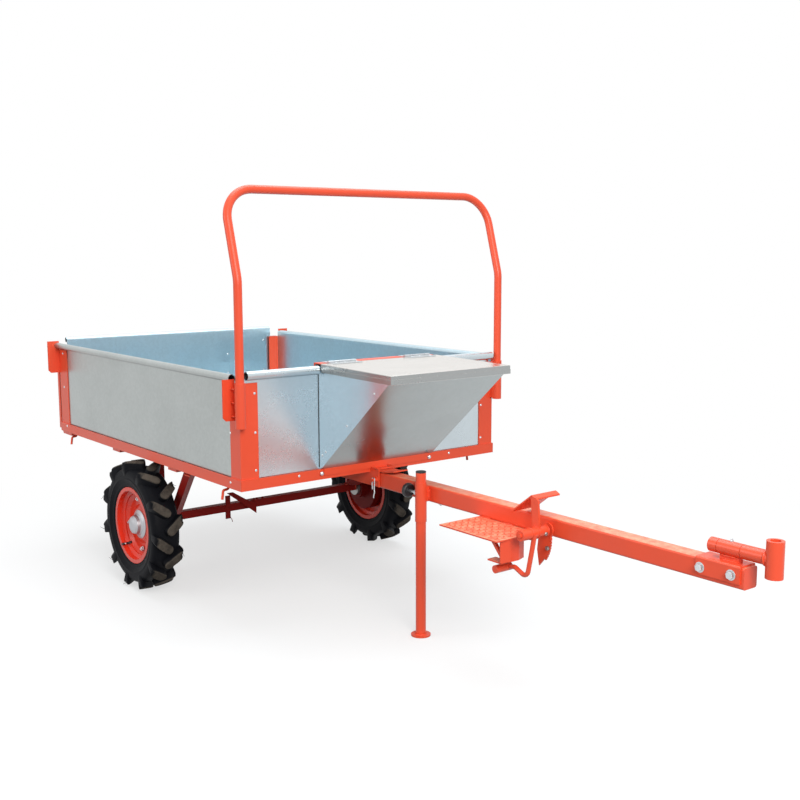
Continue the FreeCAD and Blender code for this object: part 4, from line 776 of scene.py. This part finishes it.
class TRAILER_OT_seat_fittings(bpy.types.Operator):
    """Rivet the seat box together, hem its lid and screw the lid's hinges down"""
    bl_idname = "trailer.seat_fittings"
    bl_label = "Seat Box Rivets and Hinge Screws"

    def execute(self, context):
        low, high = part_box("seat_box")
        rivet = context.scene.trailer_sizes.rivet * 0.85
        mesh = bmesh.new()
        for side, face in ((-1, low.y), (1, high.y)):
            for x, z in ((279, 296), (142, 185), (30, 91), (12, 78)):
                dome_head(mesh, at(x, face * 1000, z), Vector((0, side, 0)), rivet, sheet_rivet_height)
        make_piece(context, "seat_box_rivets", mesh, "bed", "zinc_plated")

        mesh = bmesh.new()
        for face in (low.y - 0.0004, high.y + 0.0004):
            wire(mesh, [at(-5, face * 1000, z) for z in (38, 330)], 0.0009, 8)
        make_piece(context, "seat_box_seams", mesh, "bed", "black_plastic")
        self.lid_hem(context)

        pin = at(13.5, 0, 0).x
        for kind, body, slope in (("fixed", "bed", 0.0), ("moving", "lid", math.radians(0.9))):
            node = "lid_hinges_" + kind
            leaf_low, leaf_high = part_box(node)
            x = (leaf_low.x + pin - 0.004) / 2 if body == "bed" else (leaf_high.x + pin + 0.004) / 2
            z = leaf_top(node, x)
            mesh = bmesh.new()
            for y in (-147, 147):
                for step in (-38, 0, 38):
                    place = Vector((x + (0.003 if step else -0.003), (y + step) / 1000, z))
                    turn(mesh, screw_profile, place, Vector((math.sin(slope), 0, math.cos(slope))), 16)
            make_piece(context, "hinge_screws_" + kind, mesh, body, "zinc_plated")
        return {"FINISHED"}

    def lid_hem(self, context):
        """The skirt's lower edge, folded back on itself outside and standing 8 mm below the sheet."""
        low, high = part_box("seat_lid")
        corners = [v.co for v in frame["nodes"]["seat_lid"].data.vertices]
        rear = min(c.z for c in corners if c.x < low.x + 0.01)
        front = min(c.z for c in corners if c.x > high.x - 0.01)
        drop, lap, gauge, fold = 0.008, 0.0065, 0.0008, 0.0004
        section = ((0.0, lap), (gauge, lap - 0.0005), (gauge, fold - drop), (gauge - fold, -drop),
                   (-fold, -drop), (-0.0006, fold - drop), (-0.0006, -0.0002), (0.0, -0.0002))
        path = [((low.x + 0.004, low.y, rear), (0, -1)), ((high.x, low.y, front), (1, -1)),
                ((high.x, high.y, front), (1, 1)), ((low.x + 0.004, high.y, rear), (0, 1))]
        mesh = bmesh.new()
        loft(mesh, [[Vector((x + out * ox, y + out * oy, z + lift)) for out, lift in section]
                    for (x, y, z), (ox, oy) in path])
        make_piece(context, "lid_hem", mesh, "lid", "seat_lid")


def leaf_top(node, x):
    """Height of a flat hinge leaf's upper face near a place along the trailer."""
    tops = [v.co.z for v in frame["nodes"][node].data.vertices if abs(v.co.x - x) < 0.017]
    pin = at(0, 0, 363).z
    return max([z for z in tops if z < pin] or tops)


class TRAILER_OT_tailgate_fittings(bpy.types.Operator):
    """Put over-centre catches and rivets on the tailgate"""
    bl_idname = "trailer.tailgate_fittings"
    bl_label = "Tailgate Catches and Rivets"

    def execute(self, context):
        rivet = context.scene.trailer_sizes.rivet
        mesh = bmesh.new()
        for side in (-1, 1):
            for y, z in ((425, 303), (425, 174), (425, 60), (247, 252), (247, 172), (247, 70)):
                dome_head(mesh, at(-1405, side * y, z), ahead, rivet, sheet_rivet_height)
        make_piece(context, "tailgate_rivets", mesh, "tailgate", "zinc_plated")

        low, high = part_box("tailgate_latches")
        mesh = bmesh.new()
        for side in (-1, 1):
            plate = Vector((low.x, side * 0.4725, (low.z + high.z) / 2))

            def near(back, left, above):
                """A place from millimetres behind, left of and above the middle of the latch plate's face."""
                return plate + Vector((-back, left, above)) / 1000

            for left in (-9, 9):
                cheek = [near(0, left, -14), near(0, left, 14), near(9, left, 10), near(9, left, -10)]
                rounded_plate(mesh, cheek, 0.0015, 0.0003)
            handle = curve_points([near(8, 0, 10), near(10, 0, -6), near(12.5, 0, -30), near(16, 0, -40)], 5)
            rings = []
            for i, p in enumerate(handle):
                half = 0.0075 - 0.0015 * i / len(handle)
                rings.append([p + Vector((back, left, 0.0)) for back, left in (
                    (0.0, -half), (0.0, half), (-0.0018, half * 0.9), (-0.0018, -half * 0.9))])
            loft(mesh, rings)
            loop = [near(6, -7, 2), near(5, -7, 18), near(5, 0, 24), near(5, 7, 18), near(6, 7, 2)]
            wire(mesh, curve_points(loop, 6), 0.0014, 8)
        make_piece(context, "tailgate_catches", mesh, "tailgate", "zinc_plated")
        return {"FINISHED"}


# ---- welds
class TRAILER_OT_weld_beads(bpy.types.Operator):
    """Run weld beads along the joints of the bed, axle, drawbar, stand and hitch"""
    bl_idname = "trailer.weld_beads"
    bl_label = "Weld Beads"

    def execute(self, context):
        width = context.scene.trailer_sizes.weld
        mesh = bmesh.new()
        for side in (-1, 1):
            # hoop sleeves and posts
            rows = [((-29, side * 509, z), (-10, side * 511, z + 1), 1.1, z) for z in (302, 262, 222)]
            rows += [((-2.2, side * 489.5, low), (-2.2, side * 489.5, high), 1.0, low)
                     for low, high in ((200, 222), (245, 268), (290, 312))]
            rows += [((x, side * 498.5, 232), (x, side * 498.5, 316), 0.8, 5) for x in (-30, -1397)]
            # struts, axle ends and the guide channel
            rows += [((-388, side * 486.5, -13), (-346, side * 486.5, -13), 1.0, 12),
                     ((-685.5, side * 392, -213), (-685.5, side * 352, -213), 1.0, 11),
                     ((-685.5, side * 404.2, -241), (-685.5, side * 404.2, -215), 1.0, 13),
                     ((-713, side * 404.2, -213.5), (-687, side * 404.2, -213.5), 1.0, 16),
                     ((45, side * 32.2, 15), (6, side * 32.2, 17), 1.0, 14)]
            beads(mesh, width, rows)
        beads(mesh, width, [((46, -26, 16), (46, 26, 16), 1.0, 15)])
        make_piece(context, "bed_welds", mesh, "bed", "paint_red", 50)

        # stand sleeve, footrest, hitch saddle
        rows = [((x, -25.8, -40), (x, -25.8, -4), 1.1, x) for x in (268, 286)]
        rows += [((x, -25, -45.5), (end, -25, -45.5), 1.0, seed)
                 for x, end, seed in ((512, 560, 21), (600, 650, 22), (690, 735, 23))]
        for side in (-1, 1):
            rows += [((1303, side * 9.5, 8.6), (1349, side * 9.5, 8.6), 1.0, 24),
                     ((1303, side * 10, 19), (1349, side * 10, 19), 0.8, 25)]
        mesh = bmesh.new()
        beads(mesh, width, rows)
        tube = middle("brake_shaft")
        for y in (-72, -95, -38.6):
            ring_bead(mesh, Vector((tube.x, y / 1000, tube.z)), (0, 1, 0), 0.0150, width * 0.7, 48)
        make_piece(context, "drawbar_welds", mesh, "drawbar_frame", "paint_red", 50)

        mesh = bmesh.new()
        ring_bead(mesh, at(1417, 0, 35), ahead, 0.0172, width * 1.1)
        make_piece(context, "hitch_weld", mesh, "swivel", "paint_red", 50)

        mesh = bmesh.new()
        foot = middle("stand_leg")
        foot.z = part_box("stand_leg")[0].z + 0.0052
        ring_bead(mesh, foot, up, 0.0172, width)
        make_piece(context, "stand_weld", mesh, "stand", "paint_red", 50)
        return {"FINISHED"}


# ---- drawbar fittings
class TRAILER_OT_tread_plate(bpy.types.Operator):
    """Raise the grip pattern on the footrest"""
    bl_idname = "trailer.tread_plate"
    bl_label = "Tread Plate"

    def execute(self, context):
        pitch = context.scene.trailer_sizes.tread_plate_pitch
        low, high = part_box("footrest")
        mesh = bmesh.new()
        x, row = low.x + pitch * 0.55, 0
        while x < high.x - pitch * 0.4:
            y = low.y + pitch * (0.55 if row % 2 else 1.05)
            while y < at(0, -28, 0).y - pitch * 0.45:
                self.lozenge(mesh, Vector((x, y, high.z)), math.radians(45 if row % 2 else -45))
                y += pitch
            x += pitch * 0.5
            row += 1
        make_piece(context, "footrest_grip", mesh, "drawbar_frame", "paint_red", 40)
        return {"FINISHED"}

    def lozenge(self, mesh, place, angle):
        """A raised tapering bar, 17 mm long and 1.2 mm high."""
        along = Vector((math.cos(angle), math.sin(angle), 0))
        across = Vector((-along.y, along.x, 0))
        rings = []
        for share, half, height in ((-1.0, 0.0003, 0.0), (-0.75, 0.0016, 0.0009), (-0.35, 0.0025, 0.0012),
                                    (0.35, 0.0025, 0.0012), (0.75, 0.0016, 0.0009), (1.0, 0.0003, 0.0)):
            spot = place + along * (0.0085 * share)
            rings.append([spot + across * (half * aside) + up * lift for aside, lift in (
                (1, -0.0004), (0.45, height), (-0.45, height), (-1, -0.0004))])
        loft(mesh, rings)


class TRAILER_OT_hitch_bolts(bpy.types.Operator):
    """Bolt the hitch saddle through the drawbar and fit the swivel's grease nipple"""
    bl_idname = "trailer.hitch_bolts"
    bl_label = "Hitch Bolts"

    def execute(self, context):
        flats = context.scene.trailer_sizes.hitch_bolt
        low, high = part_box("hitch_saddle")
        mesh = bmesh.new()
        for x, z in ((1263, -17), (1346, -15.5)):
            hex_head(mesh, at(x, low.y * 1000, z), rightward, flats, 0.0075, washer=0.0125)
            hex_head(mesh, at(x, high.y * 1000, z), -rightward, flats, 0.0085, washer=0.0125, stud=0.0045)
        make_piece(context, "hitch_bolts", mesh, "drawbar_frame", "zinc_plated")

        mesh = bmesh.new()
        top = Vector((middle("swivel_barrel").x, 0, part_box("swivel_barrel")[1].z))
        turn(mesh, nipple_profile, top, up, 16)
        make_piece(context, "grease_nipple", mesh, "drawbar_frame", "zinc_plated")
        return {"FINISHED"}


class TRAILER_OT_brake_rigging(bpy.types.Operator):
    """Fit the axle's brake levers, the pedal's return spring and the bolts around them"""
    bl_idname = "trailer.brake_rigging"
    bl_label = "Brake Rigging"

    def execute(self, context):
        tube = middle("brake_shaft")
        mesh = bmesh.new()
        hex_head(mesh, at(786, -32, -77), rightward, 0.011, 0.006)
        hex_head(mesh, Vector((tube.x + 0.0135, -0.050, tube.z - 0.004)), ahead, 0.009, 0.004)
        make_piece(context, "brake_bolts", mesh, "drawbar_frame", "bare_steel")

        mesh = bmesh.new()
        hex_head(mesh, at(312, 0, -46.2), -up, 0.013, 0.006, washer=0.0085, stud=0.003)
        make_piece(context, "drawbar_nut", mesh, "drawbar_frame", "zinc_plated")

        mesh = bmesh.new()
        start, end = at(560, -70, -54), at(690, -70, -92)
        run = (end - start).length
        axis, side, other = frame_along(end - start)
        coils, steps, coil_radius, gauge = 34, 12, 0.0052, 0.0011
        coil = [start + axis * run * (0.12 + 0.76 * (i / (coils * steps)))
                + around(side, other, 2 * math.pi * i / steps) * coil_radius
                for i in range(coils * steps + 1)]
        hook = axis * run * 0.06
        wire(mesh, coil, gauge, 6)
        wire(mesh, curve_points([start, start + hook + side * 0.003, coil[0]], 4), gauge, 6)
        wire(mesh, curve_points([coil[-1], end - hook + side * 0.003, end], 4), gauge, 6)
        make_piece(context, "brake_return_spring", mesh, "drawbar_frame", "black_plastic", 60)

        mesh = bmesh.new()
        lever = [at(-685, y, z) for y, z in ((-176, -183), (-157, -183), (-157, -268), (-176, -268))]
        rounded_plate(mesh, lever, 0.005, 0.0008)
        link = ((-175, -171), (-150, -171), (-85, -212), (-55, -224), (-55, -262), (-78, -244))
        loft(mesh, [[at(x, y, z) for y, z in link] for x in (-680, -675)])
        for y in (-51, -38, -14):
            bead(mesh, at(-700, y - 5, -213), at(-700, y + 5, -213), 0.006, 3)
        cable_end = [at(-682, -160, -262), at(-681, -155, -272), at(-682, -152, -281)]
        wire(mesh, curve_points(cable_end, 5), 0.0012, 8)
        make_piece(context, "axle_brake_levers", mesh, "bed", "axle", 40)
        return {"FINISHED"}


class TRAILER_OT_locking_clip(bpy.types.Operator):
    """Hang the spring clip on the bed's locking pin"""
    bl_idname = "trailer.locking_clip"
    bl_label = "Locking Clip"

    def execute(self, context):
        long_leg = [(40, -44, -14), (41, -45, -30), (38.5, -45, -46), (40, -45, -58), (36.5, -45, -68),
                    (35, -45, -77)]
        short_leg = [(30, -44, -13), (28, -44.5, -30), (28.5, -44.5, -50)]
        eye = [at(34 + 6.6 * math.cos(a), -44, -19 + 6.6 * math.sin(a))
               for a in [math.radians(v) for v in range(-30, 301, 22)]]
        mesh = bmesh.new()
        for line in (curve_points([at(*p) for p in long_leg], 6), eye,
                     curve_points([at(*p) for p in short_leg], 6)):
            wire(mesh, line, 0.0017, 8)
        make_piece(context, "locking_clip", mesh, "bed", "zinc_plated")
        return {"FINISHED"}


# ---- studio
# name, place in metres, diameter in metres, power in watts, colour
lamps = (("key_lamp", (4.4, -1.7, 2.9), 2.6, 190.0, (1.0, 0.97, 0.93)),
         ("top_lamp", (-0.4, 0.4, 4.0), 3.6, 105.0, (0.86, 0.95, 1.0)),
         ("side_lamp", (-1.6, -4.4, 2.2), 2.4, 45.0, (1.0, 0.98, 0.96)))
lamp_aim = Vector((0.1, 0.0, 0.5))
# the floor is plain white from 0.8 of this many metres out
floor_reach = 3.2
camera_place = (2735.935, -2052.962, 710.891)
camera_heading, camera_dip, camera_roll = 51.625, 8.060, -0.082


class TRAILER_OT_studio(bpy.types.Operator):
    """Set up the floor, lamps, world and camera"""
    bl_idname = "trailer.studio"
    bl_label = "Studio"

    def execute(self, context):
        scene = context.scene
        mesh = bmesh.new()
        bmesh.ops.create_circle(mesh, cap_ends=True, radius=30.0, segments=96)
        data = bpy.data.meshes.new("studio_floor")
        mesh.to_mesh(data)
        mesh.free()
        data.materials.append(new_material("painted_floor", studio_floor,
                                           scene.trailer_colours.floor, floor_reach))
        floor = bpy.data.objects.new("studio_floor", data)
        floor.location.z = cad_box[0].z - 0.0005
        scene.collection.objects.link(floor)

        world = bpy.data.worlds.new("studio_world")
        world.use_nodes = True
        tree = world.node_tree
        tree.nodes.clear()
        soft = add_node(tree, "ShaderNodeBackground", {"Color": (0.93, 0.97, 1.0, 1.0), "Strength": 0.55})
        white = add_node(tree, "ShaderNodeBackground", {"Color": pure_white, "Strength": 1.0})
        both = add_node(tree, "ShaderNodeMixShader",
                        {0: seen_ray(tree), 1: soft.outputs[0], 2: white.outputs[0]})
        add_node(tree, "ShaderNodeOutputWorld", {"Surface": both.outputs[0]})
        scene.world = world

        for name, place, diameter, power, tint in lamps:
            data = bpy.data.lights.new(name, "AREA")
            data.shape = "DISK"
            data.size = diameter
            data.energy = power
            data.color = tint
            lamp = bpy.data.objects.new(name, data)
            lamp.location = place
            lamp.rotation_euler = (lamp_aim - Vector(place)).to_track_quat("-Z", "Y").to_euler()
            scene.collection.objects.link(lamp)

        camera = bpy.data.cameras.new("camera")
        camera.lens = 48.944
        camera.sensor_width = 36.0
        camera.shift_x = -0.007295
        camera.shift_y = 0.000459
        camera.clip_end = 200.0
        holder = bpy.data.objects.new("camera", camera)
        heading = Matrix.Rotation(math.radians(camera_heading), 3, "Z")
        tilt = Matrix.Rotation(math.radians(90 - camera_dip), 3, "X")
        roll = Matrix.Rotation(math.radians(camera_roll), 3, "Z")
        holder.matrix_world = Matrix.Translation(at(*camera_place)) @ (heading @ tilt @ roll).to_4x4()
        scene.collection.objects.link(holder)
        scene.camera = holder
        scene.view_settings.view_transform = "Standard"
        return {"FINISHED"}


# ---- panel and registration
making_steps = (TRAILER_OT_finish_model, TRAILER_OT_tyres, TRAILER_OT_wheel_fittings, TRAILER_OT_bed_rivets,
                TRAILER_OT_seat_fittings, TRAILER_OT_tailgate_fittings, TRAILER_OT_weld_beads,
                TRAILER_OT_tread_plate, TRAILER_OT_hitch_bolts, TRAILER_OT_brake_rigging,
                TRAILER_OT_locking_clip, TRAILER_OT_studio)


class TRAILER_PT_sidebar(bpy.types.Panel):
    """Sizes, colours and making steps of the trailer"""
    bl_idname = "TRAILER_PT_sidebar"
    bl_label = "Trailer"
    bl_space_type = "VIEW_3D"
    bl_region_type = "UI"
    bl_category = "Trailer"

    def draw(self, context):
        scene = context.scene
        for title, group in (("Sizes", scene.trailer_sizes), ("Colours", scene.trailer_colours)):
            box = self.layout.box()
            box.label(text=title)
            for key in group.__annotations__:
                box.prop(group, key)
        steps = self.layout.column(align=True)
        for step in making_steps:
            steps.operator(step.bl_idname)


register_classes, unregister_classes = bpy.utils.register_classes_factory(
    (TrailerSizes, TrailerColours) + making_steps + (TRAILER_PT_sidebar,))


def register():
    register_classes()
    bpy.types.Scene.trailer_sizes = bpy.props.PointerProperty(type=TrailerSizes)
    bpy.types.Scene.trailer_colours = bpy.props.PointerProperty(type=TrailerColours)


def unregister():
    del bpy.types.Scene.trailer_sizes
    del bpy.types.Scene.trailer_colours
    unregister_classes()


def main():
    register()
    for step in making_steps:
        getattr(bpy.ops.trailer, step.bl_idname.split(".")[1])()


if __name__ == "__main__":
    main()
